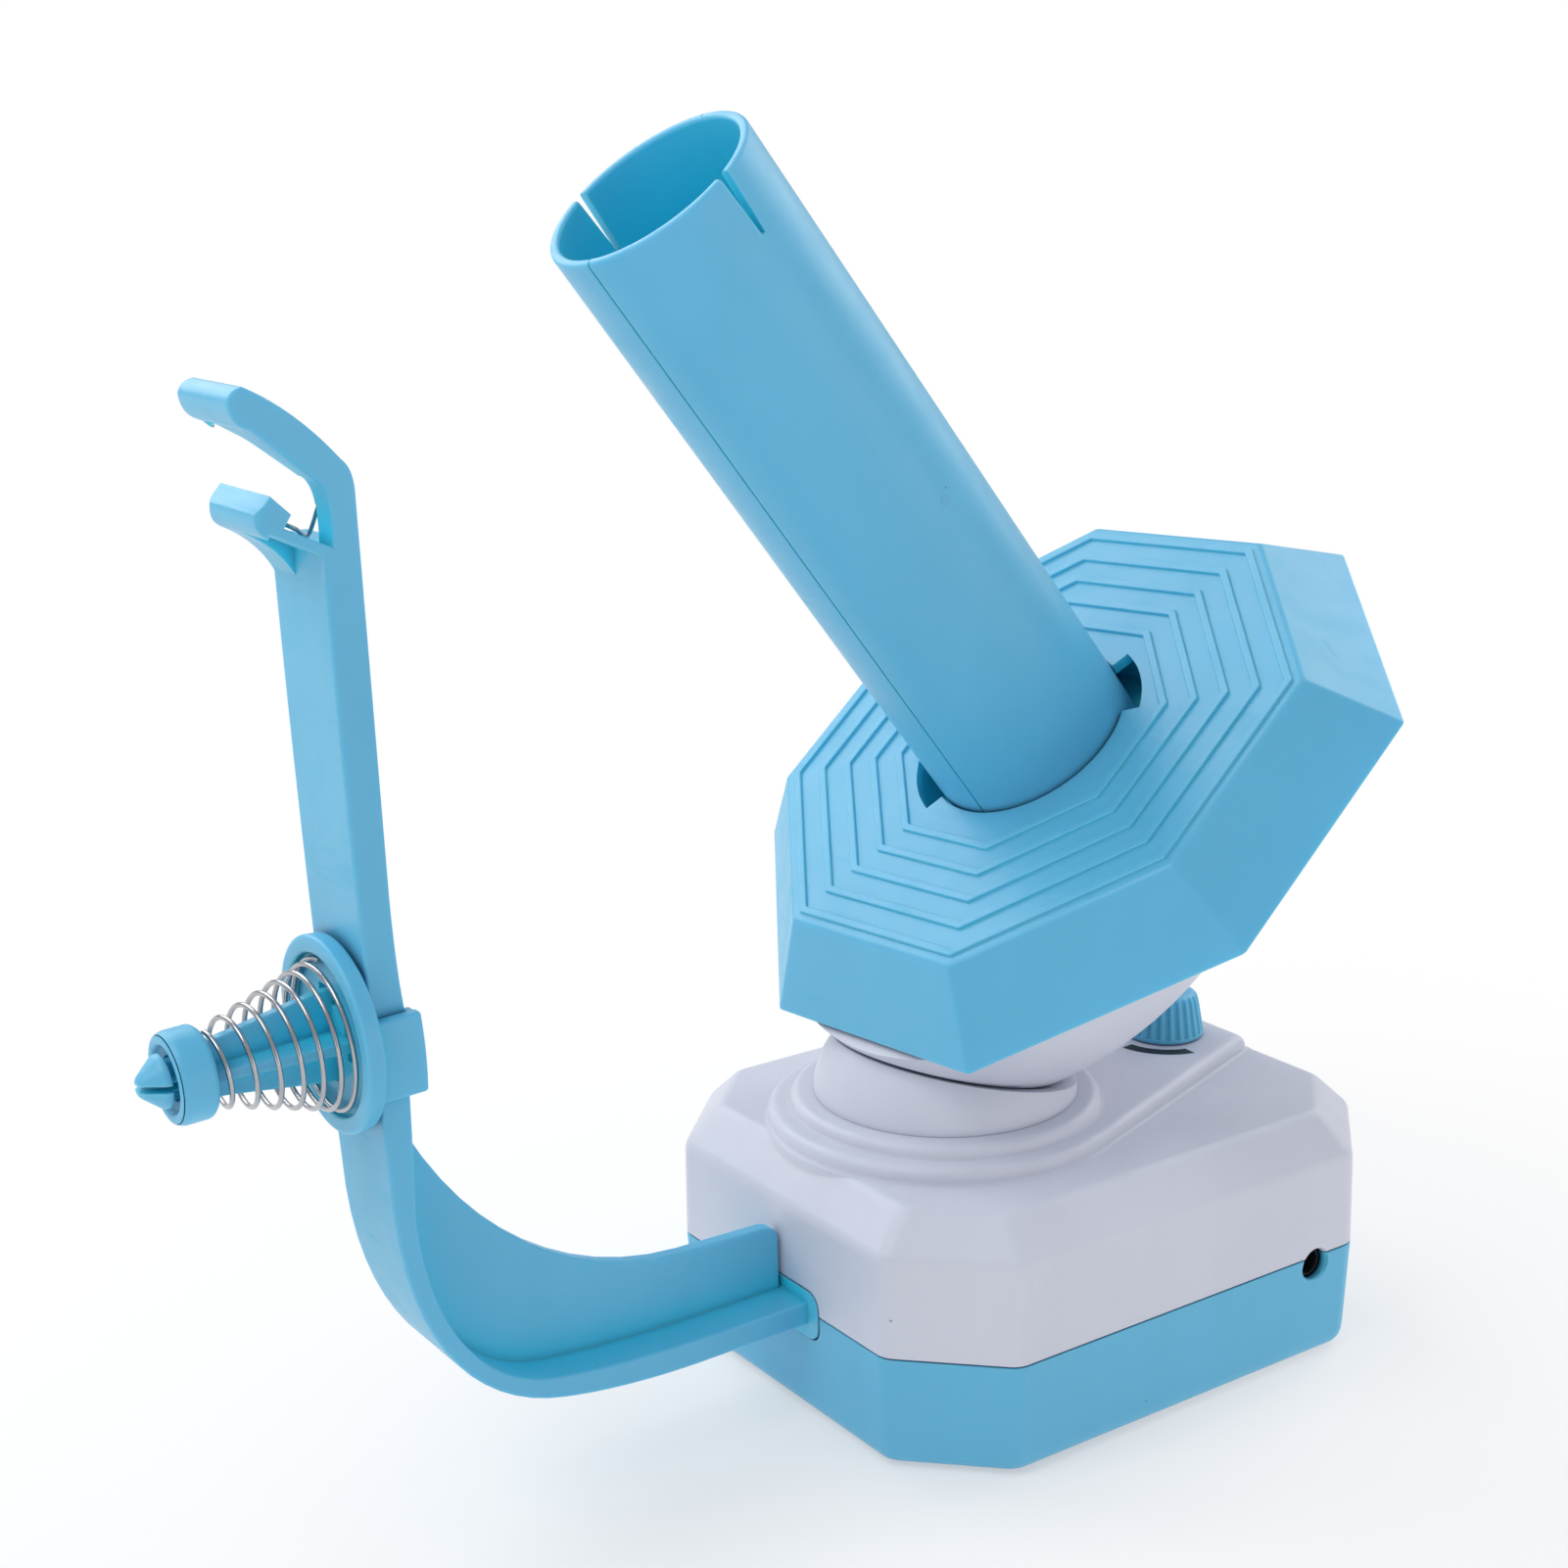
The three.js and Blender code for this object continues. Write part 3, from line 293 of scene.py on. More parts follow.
def slab(outline, half_width, soft=0.6, steps=4):
    """A side view in x and z, thickened to both sides of y = 0, with round edges."""
    inward = inward_normals(outline)
    rings = []
    for side in (-1, 1):
        for k in range(steps + 1):
            angle = (math.pi / 2) * (k / steps if side < 0 else 1 - k / steps)
            inset = soft * (1 - math.sin(angle))
            y = side * (half_width - soft * (1 - math.cos(angle)))
            rings.append([Vector((p.x + n.x * inset, y, p.y + n.y * inset)) for p, n in zip(outline, inward)])
    return skinned(rings)


def inward_normals(outline):
    count = len(outline)
    area = sum(outline[i - 1].x * outline[i].y - outline[i].x * outline[i - 1].y for i in range(count))
    side = 1 if area > 0 else -1
    normals = []
    for i in range(count):
        along = (outline[(i + 1) % count] - outline[i]).normalized() + (outline[i] - outline[i - 1]).normalized()
        normals.append(Vector((-along.y, along.x)).normalized() * side)
    return normals


def swept(points, radius, count=10):
    """A round bar along a path, with flat ends."""
    points = [Vector(p) for p in points]
    last = len(points) - 1
    tangents = [(points[min(i + 1, last)] - points[max(i - 1, 0)]).normalized() for i in range(last + 1)]
    side = tangents[0].orthogonal().normalized()
    rings = []
    for point, tangent in zip(points, tangents):
        side = (side - tangent * side.dot(tangent)).normalized()
        up = tangent.cross(side)
        turn = 2 * math.pi / count
        rings.append([
            point + (side * math.cos(k * turn) + up * math.sin(k * turn)) * radius for k in range(count)
        ])
    return skinned(rings)


def through(stops, steps=8):
    """A smooth path through the given stops."""
    stops = [Vector(s) for s in stops]
    ends = [stops[0] * 2 - stops[1]] + stops + [stops[-1] * 2 - stops[-2]]
    path = []
    for a, b, c, d in zip(ends, ends[1:], ends[2:], ends[3:]):
        for k in range(steps):
            t = k / steps
            path.append(((2 * b) + (c - a) * t + (2 * a - 5 * b + 4 * c - d) * t ** 2
                         + (3 * b - a - 3 * c + d) * t ** 3) / 2)
    return path + [stops[-1]]


def moved(item, matrix):
    item.data.transform(matrix)
    if matrix.determinant() < 0:
        item.data.flip_normals()
    return item


def turned_by(item, axis, degrees):
    return moved(item, Matrix.Rotation(math.radians(degrees), 4, axis))


def settle(item):
    """Applies an object's modifiers to its mesh."""
    bpy.context.view_layer.update()
    graph = bpy.context.evaluated_depsgraph_get()
    mesh = bpy.data.meshes.new_from_object(item.evaluated_get(graph), depsgraph=graph)
    item.modifiers.clear()
    item.data = mesh
    return item


def combined(operation, first, others):
    for other in others:
        modifier = first.modifiers.new("combine", "BOOLEAN")
        modifier.operation = operation
        modifier.solver = "MANIFOLD"
        modifier.object = other
    settle(first)
    for other in others:
        bpy.data.objects.remove(other)
    return first


def join(first, *others):
    return combined("UNION", first, others)


def cut(first, *others):
    return combined("DIFFERENCE", first, others)


def common(first, *others):
    return combined("INTERSECT", first, others)


def softly(item, width, segments=3, angle=30):
    """Rounds every edge sharper than the angle."""
    bevel = item.modifiers.new("soften", "BEVEL")
    bevel.width = width
    bevel.segments = segments
    bevel.limit_method = "ANGLE"
    bevel.angle_limit = math.radians(angle)
    return settle(item)


def cad_solid(node, place):
    """A copy of a CAD node in a local frame, for the inner features that the visible skin is joined to."""
    mesh = frame["nodes"][node].data.copy()
    mesh.transform(Matrix.Scale(1 / MM, 4) @ place.inverted())
    return tidy_solid(mesh)


# ---------------------------------------------------------------- finished pieces
def piece(item, name, place, body, slot, material, *nodes):
    """Puts a solid in place and shows it for the CAD nodes it stands for."""
    item.name = name
    item.data.name = name
    item.data.transform(place @ Matrix.Scale(MM, 4))
    item.data.materials.clear()
    item.data.materials.append(material)
    smooth(item)
    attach(item, body)
    if nodes:
        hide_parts(*nodes)
    return item


def smooth(item, angle=34):
    """Smooth shading up to an angle, with flat faces kept flat where they meet a round edge."""
    item.data.shade_smooth()
    item.data.set_sharp_from_angle(angle=math.radians(angle))
    weighted = item.modifiers.new("flat_faces", "WEIGHTED_NORMAL")
    weighted.keep_sharp = True
    weighted.weight = 80


# ---------------------------------------------------------------- materials
class Shader:
    """A node material: each call adds one node, whose inputs are values or other nodes' sockets."""

    def __init__(self, name):
        self.material = bpy.data.materials.new(name)
        self.material.use_nodes = True
        self.tree = self.material.node_tree
        self.tree.nodes.clear()
        self.place = self.add("ShaderNodeTexCoord").outputs["Object"]

    def add(self, kind, **settings):
        node = self.tree.nodes.new(kind)
        for key, value in settings.items():
            setattr(node, key, value)
        return node

    def feed(self, node, **inputs):
        for key, value in inputs.items():
            socket = node.inputs[int(key[1:])] if key[0] == "_" else node.inputs[key.replace("_", " ")]
            if isinstance(value, bpy.types.NodeSocket):
                self.tree.links.new(value, socket)
            else:
                socket.default_value = value
        return node

    def noise(self, scale, detail=3.0, vector=None, distortion=0.0):
        node = self.add("ShaderNodeTexNoise")
        self.feed(node, Vector=vector or self.place, Scale=scale, Detail=detail, Distortion=distortion)
        return node.outputs["Fac"]

    def stretched(self, scale):
        node = self.feed(self.add("ShaderNodeMapping"), Vector=self.place, Scale=scale)
        return node.outputs["Vector"]

    def ranged(self, value, low, high, to_low, to_high):
        node = self.add("ShaderNodeMapRange")
        self.feed(node, Value=value, From_Min=low, From_Max=high, To_Min=to_low, To_Max=to_high)
        return node.outputs["Result"]

    def mixed(self, factor, first, second):
        node = self.add("ShaderNodeMix", data_type="RGBA")
        self.feed(node, _0=factor, _6=first, _7=second)
        return node.outputs[2]

    def multiplied(self, first, second):
        node = self.add("ShaderNodeMix", data_type="RGBA", blend_type="MULTIPLY")
        self.feed(node, _0=1.0, _6=first, _7=second)
        return node.outputs[2]

    def sum(self, operation, first, second=0.0):
        node = self.add("ShaderNodeMath", operation=operation)
        self.feed(node, _0=first, _1=second)
        return node.outputs["Value"]

    def edges(self, radius):
        """Near 1 on edges rounder than the surface, 0 on flat ground."""
        bevel = self.add("ShaderNodeBevel", samples=4)
        self.feed(bevel, Radius=radius)
        geometry = self.add("ShaderNodeNewGeometry")
        dot = self.add("ShaderNodeVectorMath", operation="DOT_PRODUCT")
        self.feed(dot, _0=bevel.outputs["Normal"], _1=geometry.outputs["Normal"])
        return self.ranged(dot.outputs["Value"], 0.995, 0.8, 0.0, 1.0)

    def bumped(self, height, distance, ease=0.0):
        """Fine relief, on a surface whose sharp edges are eased by a radius."""
        node = self.add("ShaderNodeBump")
        self.feed(node, Height=height, Distance=distance, Strength=1.0)
        if ease:
            bevel = self.add("ShaderNodeBevel", samples=4)
            self.feed(bevel, Radius=ease)
            self.feed(node, Normal=bevel.outputs["Normal"])
        return node.outputs["Normal"]

    def crevices(self, distance, own=False):
        """Near 0 deep in narrow gaps and corners, 1 in the open; own counts only the piece's own walls."""
        node = self.add("ShaderNodeAmbientOcclusion", samples=6, only_local=own)
        self.feed(node, Distance=distance)
        return self.ranged(node.outputs["AO"], 0.15, 0.85, 0.0, 1.0)

    def finished(self, **inputs):
        surface = self.add("ShaderNodeBsdfPrincipled")
        self.feed(surface, **inputs)
        output = self.add("ShaderNodeOutputMaterial")
        self.feed(output, Surface=surface.outputs["BSDF"])
        return self.material


def shade(colour, factor):
    return (colour[0] * factor, colour[1] * factor, colour[2] * factor, 1.0)


def plastic(name, colour, roughness, glow=0.12, grain=0.012, edge_wear_and_highlight=0.25, painted_hollow_tint=(1.0, 1.0, 1.0), painted_gap_shade=(0.5, 0.56, 0.62)):
    """Moulded plastic: slow tone changes, fine grain, handling marks, dust specks, paler edges (part wear, part
    painted highlight), painted gap shade and a painted bounce-light tint in hollows.
    """
    s = Shader(name)
    tone = s.mixed(s.noise(28, 2.0), shade(colour, 0.95), shade(colour, 1.04))
    flow = s.noise(60, 4.0, s.stretched((1.0, 1.0, 0.18)), 0.6)
    tone = s.mixed(s.ranged(flow, 0.35, 0.75, 0.0, 0.35), tone, shade(colour, 1.1))
    # Paler edges: partly wear, partly a painted highlight where light catches the rounded edges.
    worn_and_highlit_edges = s.sum("MULTIPLY", s.edges(0.0006), s.ranged(s.noise(220), 0.3, 0.7, 0.4, 1.0))
    pale = tuple(0.55 * c + 0.45 for c in colour) + (1.0,)
    tone = s.mixed(s.sum("MULTIPLY", worn_and_highlit_edges, edge_wear_and_highlight), tone, pale)
    specks = s.add("ShaderNodeTexVoronoi", feature="F1")
    s.feed(specks, Vector=s.place, Scale=75.0)
    near = s.ranged(specks.outputs["Distance"], 0.016, 0.024, 1.0, 0.0)
    picked = s.sum("GREATER_THAN", s.noise(190, 0.0, specks.outputs["Position"]), 0.64)
    tone = s.mixed(s.sum("MULTIPLY", s.sum("MULTIPLY", near, picked), 0.6), tone, shade(colour, 0.12))
    # Painted bounce light: deep in the piece's own hollows the colour is tinted more saturated, standing in for light
    # bounced between its walls.
    painted_hollow_factor = s.mixed(s.crevices(60 * MM, own=True), (*painted_hollow_tint, 1.0), (1.0, 1.0, 1.0, 1.0))
    tone = s.multiplied(tone, painted_hollow_factor)
    # Painted shade: the colour is darkened in narrow gaps, grooves and corners where shade falls.
    gap_shade_factor = s.mixed(s.crevices(2.2 * MM), (*painted_gap_shade, 1.0), (1.0, 1.0, 1.0, 1.0))
    tone = s.multiplied(tone, gap_shade_factor)
    scratch = s.noise(900, 2.0, s.stretched((1.0, 0.06, 0.4)))
    marks = s.ranged(scratch, 0.62, 0.7, 0.0, 0.12)
    rough = s.ranged(s.noise(140, 4.0), 0.3, 0.7, roughness - 0.05, roughness + 0.06)
    height = s.sum("ADD", s.noise(2600, 2.0), s.sum("MULTIPLY", s.noise(330, 3.0), 2.2))
    return s.finished(
        Base_Color=tone,
        Roughness=s.sum("ADD", rough, marks),
        Normal=s.bumped(height, grain * MM, 0.3 * MM),
        Subsurface_Weight=glow,
        Subsurface_Radius=(colour[0] + 0.2, colour[1] + 0.2, colour[2] + 0.2),
        Subsurface_Scale=2.4 * MM,
        IOR=1.49,
    )


def metal(name, colour, roughness, brush=(1.0, 1.0, 0.04), grain=0.004):
    """Bare metal with fine drawing lines and slight tarnish."""
    s = Shader(name)
    lines = s.noise(2400, 2.0, s.stretched(brush))
    tarnish = s.noise(240, 4.0)
    tone = s.mixed(s.ranged(tarnish, 0.35, 0.8, 0.0, 0.5), shade(colour, 1.0), shade(colour, 0.72))
    rough = s.ranged(lines, 0.3, 0.7, roughness - 0.06, roughness + 0.09)
    return s.finished(
        Base_Color=tone, Metallic=1.0, Roughness=rough, Normal=s.bumped(lines, grain * MM),
    )


def rubber_material():
    s = Shader("rubber")
    pores = s.noise(3200, 3.0)
    dust = s.ranged(s.noise(420, 4.0), 0.5, 0.8, 0.0, 0.5)
    tone = s.mixed(dust, (0.012, 0.012, 0.013, 1.0), (0.06, 0.06, 0.062, 1.0))
    return s.finished(
        Base_Color=tone, Roughness=s.ranged(pores, 0.3, 0.7, 0.75, 0.95), Normal=s.bumped(pores, 0.03 * MM),
    )


def board_material():
    """Green lacquer with paler copper tracks under it."""
    s = Shader("circuit_laminate")
    tracks = s.add("ShaderNodeTexBrick", offset=0.37, squash=1.4)
    s.feed(tracks, Vector=s.place, Scale=420.0, Mortar_Size=0.06, Color1=(0.008, 0.085, 0.035, 1.0))
    s.feed(tracks, Color2=(0.012, 0.12, 0.05, 1.0), Mortar=(0.03, 0.26, 0.12, 1.0))
    rough = s.ranged(s.noise(700), 0.3, 0.7, 0.25, 0.4)
    return s.finished(Base_Color=tracks.outputs["Color"], Roughness=rough, Coat_Weight=0.3)


def ink_material():
    """Pad-printed ink with a slightly uneven grain."""
    s = Shader("printed_ink")
    grain = s.noise(3000, 2.0)
    tone = s.mixed(s.ranged(grain, 0.45, 0.75, 0.0, 0.4), (0.006, 0.008, 0.012, 1.0), (0.05, 0.055, 0.065, 1.0))
    return s.finished(Base_Color=tone, Roughness=s.ranged(grain, 0.3, 0.7, 0.4, 0.6))


BLUE_COLOUR = (0.118, 0.478, 0.710)
WHITE_COLOUR = (0.640, 0.655, 0.740)
# Each plastic's tints set its painted gap shade, and for the blue also a painted bounce-light tint in deep hollows.
MATERIALS = {
    "blue_plastic": plastic("blue_plastic", BLUE_COLOUR, 0.38, glow=0.45, painted_hollow_tint=(0.3, 1.6, 1.33)),
    "white_plastic": plastic("white_plastic", WHITE_COLOUR, 0.42, glow=0.15, edge_wear_and_highlight=0.12, painted_gap_shade=(0.82, 0.84, 0.88)),
    "acetal": plastic("acetal", (0.78, 0.76, 0.68), 0.45, glow=0.25, edge_wear_and_highlight=0.1),
    "black_plastic": plastic("black_plastic", (0.012, 0.012, 0.014), 0.38, glow=0.0, edge_wear_and_highlight=0.05),
    "red_insulation": plastic("red_insulation", (0.42, 0.02, 0.015), 0.45, glow=0.1, edge_wear_and_highlight=0.05),
    "black_insulation": plastic("black_insulation", (0.015, 0.015, 0.016), 0.45, glow=0.0, edge_wear_and_highlight=0.05),
    "steel": metal("steel", (0.58, 0.59, 0.61), 0.32),
    "plated_steel": metal("plated_steel", (0.62, 0.63, 0.64), 0.28, (0.04, 1.0, 1.0)),
    "ground_steel": metal("ground_steel", (0.62, 0.63, 0.65), 0.2),
    "spring_steel": metal("spring_steel", (0.46, 0.47, 0.49), 0.2, (1.0, 1.0, 1.0), 0.002),
    "contact_metal": metal("contact_metal", (0.7, 0.7, 0.7), 0.2),
    "bronze": metal("bronze", (0.52, 0.32, 0.14), 0.36, (1.0, 1.0, 1.0)),
    "rubber": rubber_material(),
    "circuit_laminate": board_material(),
}
BLUE = MATERIALS["blue_plastic"]
WHITE = MATERIALS["white_plastic"]


# ---------------------------------------------------------------- base
def base_levels(*levels):
    return [Vector(level) for level in levels]


def below_split(inset):
    """The lower shell's outside, or the same shape drawn in by an inset."""
    slope = (SPLIT - BOTTOM) / (SPLIT[3] - BOTTOM[3])
    foot = BOTTOM - slope * (BOTTOM[3] - UNDERSIDE - inset)
    flat = foot - Vector((6, 6, 6 * (2 - math.sqrt(2)), 0))
    lip = SPLIT - Vector((0.45, 0.45, 0.27, 0))
    levels = softened([flat, foot, SPLIT, lip], (4.0, 0.4))
    return [octagon(level, inset) for level in levels]


def above_split(inset):
    """The upper shell's outside without the collar, or the same shape drawn in by an inset."""
    low = SPLIT + Vector((0, 0, 0, GAP))
    lip = low - Vector((0.35, 0.35, 0.2, 0))
    top = TOP - Vector((0, 0, 0, inset))
    flat = top - Vector((4, 4, 4 * (2 - math.sqrt(2)), 0))
    levels = softened([lip, low, SHOULDER, top, flat], (0.3, 1.8, 2.0))
    return [octagon(level, inset) for level in levels]


def tab_outline(gap):
    half, low, high = TAB["half"] + gap, TAB["low"] - gap, TAB["high"] + gap
    return rounded([Vector(c) for c in ((-half, low), (half, low), (half, high), (-half, high))], 3.0 + gap, 6)


def arm_socket(gap):
    """The rounded opening for the arm's tab, in both shells."""
    outline = tab_outline(gap)
    return skinned([[Vector((x, p.x, p.y)) for p in outline] for x in (-64.0, -45.0)])


def arm_tab():
    """The tab at the arm's foot, flush with the shells' wall."""
    outline = tab_outline(0)
    tab = skinned([[Vector((x, p.x, p.y)) for p in outline] for x in (TAB["face"], TAB["back"])])
    return softly(tab, 0.25, 2)


def along_y(profile, count=48):
    """A turned solid about the power socket's axis, from the front inwards."""
    item = turned(profile, count)
    turned_by(item, "X", -90)
    return moved(item, Matrix.Translation((JACK_X, 0, JACK_Z)))


def jack_hole():
    return along_y([(3.6, -56), (3.6, -50.4), (3.2, -50.0), (3.2, -44)])


def base_bottom():
    skin = cut(skinned(below_split(0)), skinned(below_split(SKIN + 0.1) + [open_top(below_split(SKIN + 0.1))]))
    core = common(cad_solid("base_bottom_shell", BASE), skinned(below_split(SKIN - 0.1)))
    shell = join(skin, core)
    low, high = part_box("foot_front_right")
    seat_radius = (high.x - low.x) / 2 / MM + GAP
    cutters = [arm_socket(0.32), jack_hole()]
    for corner in ("front_right", "front_left", "back_right", "back_left"):
        foot = BASE.inverted() @ middle(f"foot_{corner}") / MM
        screw = BASE.inverted() @ middle(f"base_screw_{corner}") / MM
        cutters.append(rod(-1, 2.3, seat_radius, count=48, x=foot.x, y=foot.y))
        cutters.append(turned([(3.9, 0.0), (3.9, 0.85), (3.3, 1.4), (3.3, 6.0)], 48, x=screw.x, y=screw.y))
    return cut(shell, *cutters)


def open_top(rings):
    """The last ring again, well above the shell, so that a cut leaves it open there."""
    return lifted(rings[-1], SPLIT[3] + 2)


def collar():
    """Two round steps, each with a soft shoulder and a small fillet at its foot."""
    profile = soft_profile(
        [
            (33.0, 46), (COLLAR_RADIUS + 0.9, 46), (COLLAR_RADIUS + 0.9, 49.5), (COLLAR_RADIUS, 49.6),
            (COLLAR_RADIUS - 0.2, COLLAR_STEP), (RING_RADIUS + 0.6, COLLAR_STEP + 0.1), (RING_RADIUS, COLLAR_STEP + 0.3),
            (RING_RADIUS - 0.4, RING_TOP), (24.0, RING_TOP),
        ],
        (0.1, 0.1, 0.5, 1.9, 0.5, 0.3, 1.7),
    )
    item = turned(profile, 160)
    return moved(item, Matrix.Translation((HEAD_X, 0, 0)))


def tail_ring(inset, z):
    """The collar's outline drawn out into a tail that ends beyond the knob."""
    radius = COLLAR_RADIUS - inset
    corner = Vector((TAIL["end"] - inset - HEAD_X, TAIL["half_width"] - inset))
    touch = math.atan2(corner.y, corner.x) + math.acos(radius / corner.length)
    arc = [Vector((radius * math.cos(a), radius * math.sin(a))) for a in spread(touch, 2 * math.pi - touch, 64)]
    tail = [Vector((corner.x, -corner.y)), corner]
    start, end = arc[-1], arc[0]
    ends = rounded([start, tail[0], tail[1], end], 2.0, 5)[6:18]
    return [Vector((p.x + HEAD_X, p.y, z)) for p in arc + ends]


def spread(low, high, count):
    return [low + (high - low) * i / (count - 1) for i in range(count)]


def tail():
    profile = soft_profile(
        [(-0.9, 46), (-0.9, 49.5), (0, 49.6), (0.2, COLLAR_STEP), (6.0, COLLAR_STEP)], (0.1, 0.5, 1.9),
    )
    return skinned([tail_ring(inset, z) for inset, z in profile])


def base_top():
    outside = join(skinned(above_split(0)), collar(), tail())
    inner = [skinned([open_bottom(rings)] + rings) for rings in (above_split(SKIN + 0.1), above_split(SKIN - 0.1))]
    under_collar = turned([(32.0, 44), (32.0, 50.4), (28.0, 51.2), (27.0, 53.6), (12.0, 53.6)], 64)
    under_collar = moved(under_collar, Matrix.Translation((HEAD_X, 0, 0)))
    room = join(inner[0], under_collar)
    kept = join(inner[1], moved(turned([(32.2, 44), (32.2, 50.6), (28.2, 51.4), (27.2, 53.8), (12.0, 53.8)], 64),
                                Matrix.Translation((HEAD_X, 0, 0))))
    shell = join(cut(outside, room), common(cad_solid("base_top_shell", BASE), kept))
    opening = turned([(12.0, 40), (12.0, 54.7), (12.8, 55.6)], 64)
    opening = moved(opening, Matrix.Translation((HEAD_X, 0, 0)))
    knob_hole = rod(40, 60, 3.7, count=48, x=KNOB_X)
    return cut(shell, opening, knob_hole, arm_socket(0.32), jack_hole())


def open_bottom(rings):
    return lifted(rings[0], SPLIT[3] - 2)


def speed_mark():
    """A printed band round the knob that ends in a slanted cut."""
    inner, outer = 10.1, 12.8
    low, high = 186, 256
    points = []
    for z in (COLLAR_STEP + 0.005, COLLAR_STEP + 0.05):
        for radius, end in ((inner, high - 4), (outer, high)):
            for angle in spread(math.radians(low), math.radians(end), 40):
                points.append(Vector((KNOB_X + radius * math.cos(angle), radius * math.sin(angle), z)))
    rings = []
    for i in range(40):
        rings.append([points[i], points[40 + i], points[120 + i], points[80 + i]])
    return skinned(rings)


def foot(radius, height):
    profile = soft_profile(
        [(radius * 0.4, 0), (radius - 0.4, 0), (radius, height), (radius * 0.4, height)], (0.5, 0.2),
    )
    return turned(profile, 48)


def cross_screw(head_low, head_high, radius, shank_end, shank_radius):
    """A pan-head screw with a cross recess, its head facing down."""
    head = turned(soft_profile(
        [(radius * 0.5, head_low), (radius, head_low + 0.1), (radius, head_high), (shank_radius, head_high)],
        (1.1, 0.1),
    ), 40)
    rings = []
    steps = int((shank_end - head_high) / 0.25)
    for k in range(steps):
        z = head_high - 0.2 + k * 0.25
        bite = shank_radius * (0.84 if k % 4 < 2 else 1.0)
        rings.append(circle(bite, z, 20))
    shank = skinned(rings)
    slots = [block(-radius * 0.62, radius * 0.62, -0.3, 0.3, head_low - 1, head_low + 1.0) for _ in range(2)]
    turned_by(slots[0], "Z", 30)
    turned_by(slots[1], "Z", 120)
    return cut(join(head, shank), *slots)


def make_base():
    piece(base_bottom(), "lower_shell", BASE, "base", "blue_plastic", BLUE, "base_bottom_shell")
    piece(base_top(), "upper_shell", BASE, "base", "white_plastic", WHITE, "base_top_shell")
    piece(speed_mark(), "speed_mark", BASE, "base", "white_plastic", ink_material())
    for corner in ("front_right", "front_left", "back_right", "back_left"):
        node = f"foot_{corner}"
        low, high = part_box(node)
        size = (high - low) / MM
        place = Matrix.Translation((middle(node).x, middle(node).y, low.z))
        piece(foot(size.x / 2, size.z), f"pad_{corner}", place, "base", "rubber", MATERIALS["rubber"], node)
        node = f"base_screw_{corner}"
        low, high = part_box(node)
        place = Matrix.Translation((middle(node).x, middle(node).y, 0))
        screw = cross_screw(low.z / MM, low.z / MM + 2.1, (high.x - low.x) / 2 / MM, high.z / MM, 1.3)
        piece(screw, f"case_screw_{corner}", place, "base", "steel", MATERIALS["steel"], node)


# ---------------------------------------------------------------- head
def seam_block(lift):
    """Everything above the slanted joint between the bell and the bowl, raised by a lift."""
    reach = 90
    base = [(-reach, -reach), (reach, -reach), (reach, reach), (-reach, reach)]
    low = [Vector((x, y, SEAM["z"] - SEAM["slope"] * x + lift)) for x, y in base]
    return skinned([low, [Vector((x, y, 210)) for x, y in base]])


def bell_profile(inset):
    low, high = BELL_FOOT, 69.0
    outside = curve((25.9, low), ((25.7, 62.0), (19.0, high)), steps=22)
    return [(point.x - inset, point.y) for point in outside]


def rotor_bell():
    skin = turned([(25.0, BELL_FOOT)] + bell_profile(0), 160)
    room = turned([(24.2, 59.0)] + [(r, z) for r, z in bell_profile(2.0) if z > 59.5], 96)
    core = common(cad_solid("rotor_bell", HEAD), turned([(22.5, 50), (22.5, 56.5), (19.0, 66)], 96), )
    hub = common(cad_solid("rotor_bell", HEAD), rod(30, 58, 13, count=64))
    shell = cut(skin, room, seam_block(0))
    bore = rod(20, 80, 6.6, count=64)
    return cut(join(shell, core, hub), bore)


def bowl_rings(inset, top_level, steps=26, count=160):
    """Circles that swing from the slanted joint up to the underside of the plate."""
    lean = math.atan(SEAM["slope"])
    neck = Vector((0.9, 61.4))
    mouth = Vector((math.sin(TILT) * top_level, APEX_Z - math.cos(TILT) * top_level))
    handle = neck + 44.3 * Vector((math.sin(lean), math.cos(lean)))
    rings = []
    for i in range(steps + 1):
        s = (i / steps) ** 1.35
        tip = lean + (-TILT - lean) * s
        centre = bezier([neck, handle, mouth], s)
        radius = 22.2 + (54 - 22.2) * (1 - (1 - s) ** 4) - inset
        ring = []
        for k in range(count):
            angle = 2 * math.pi * k / count
            side = radius * math.cos(angle)
            ring.append(Vector((
                centre.x - side * math.cos(tip), radius * math.sin(angle), centre.y + side * math.sin(tip),
            )))
        rings.append(ring)
    return rings


def below_plate(distance):
    """Everything further down the spool's axis than a distance from its apex."""
    item = rod(-150, -distance, 110, count=8)
    return moved(item, to_head())


def to_head():
    matrix = (HEAD.inverted() @ SPOOL).copy()
    matrix.translation = matrix.translation / MM
    return matrix


def rotor_bowl():
    top = 49.2
    outside = common(skinned(bowl_rings(0, top)), below_plate(top))
    room = common(skinned(bowl_rings(2.0, top + 2.2)), below_plate(top + 2.2))
    throat = rod(50, 66, 19.6, count=96)
    shell = softly(cut(outside, room, throat, flipped_seam(0.1, 0), flipped_seam(0.12, 0.035)), 0.12, 2, 50)
    inner = common(cad_solid("rotor_bowl", HEAD), skinned(bowl_rings(1.0, top + 1.2)))
    return join(shell, inner)


def flipped_seam(lift, opening):
    """Everything below the slanted joint, raised by a lift and opening towards the arm's side."""
    reach = 90
    base = [(-reach, -reach), (reach, -reach), (reach, reach), (-reach, reach)]
    high = [Vector((x, y, SEAM["z"] + lift - (SEAM["slope"] + opening) * x)) for x, y in base]
    return skinned([[Vector((x, y, 20)) for x, y in base], high])


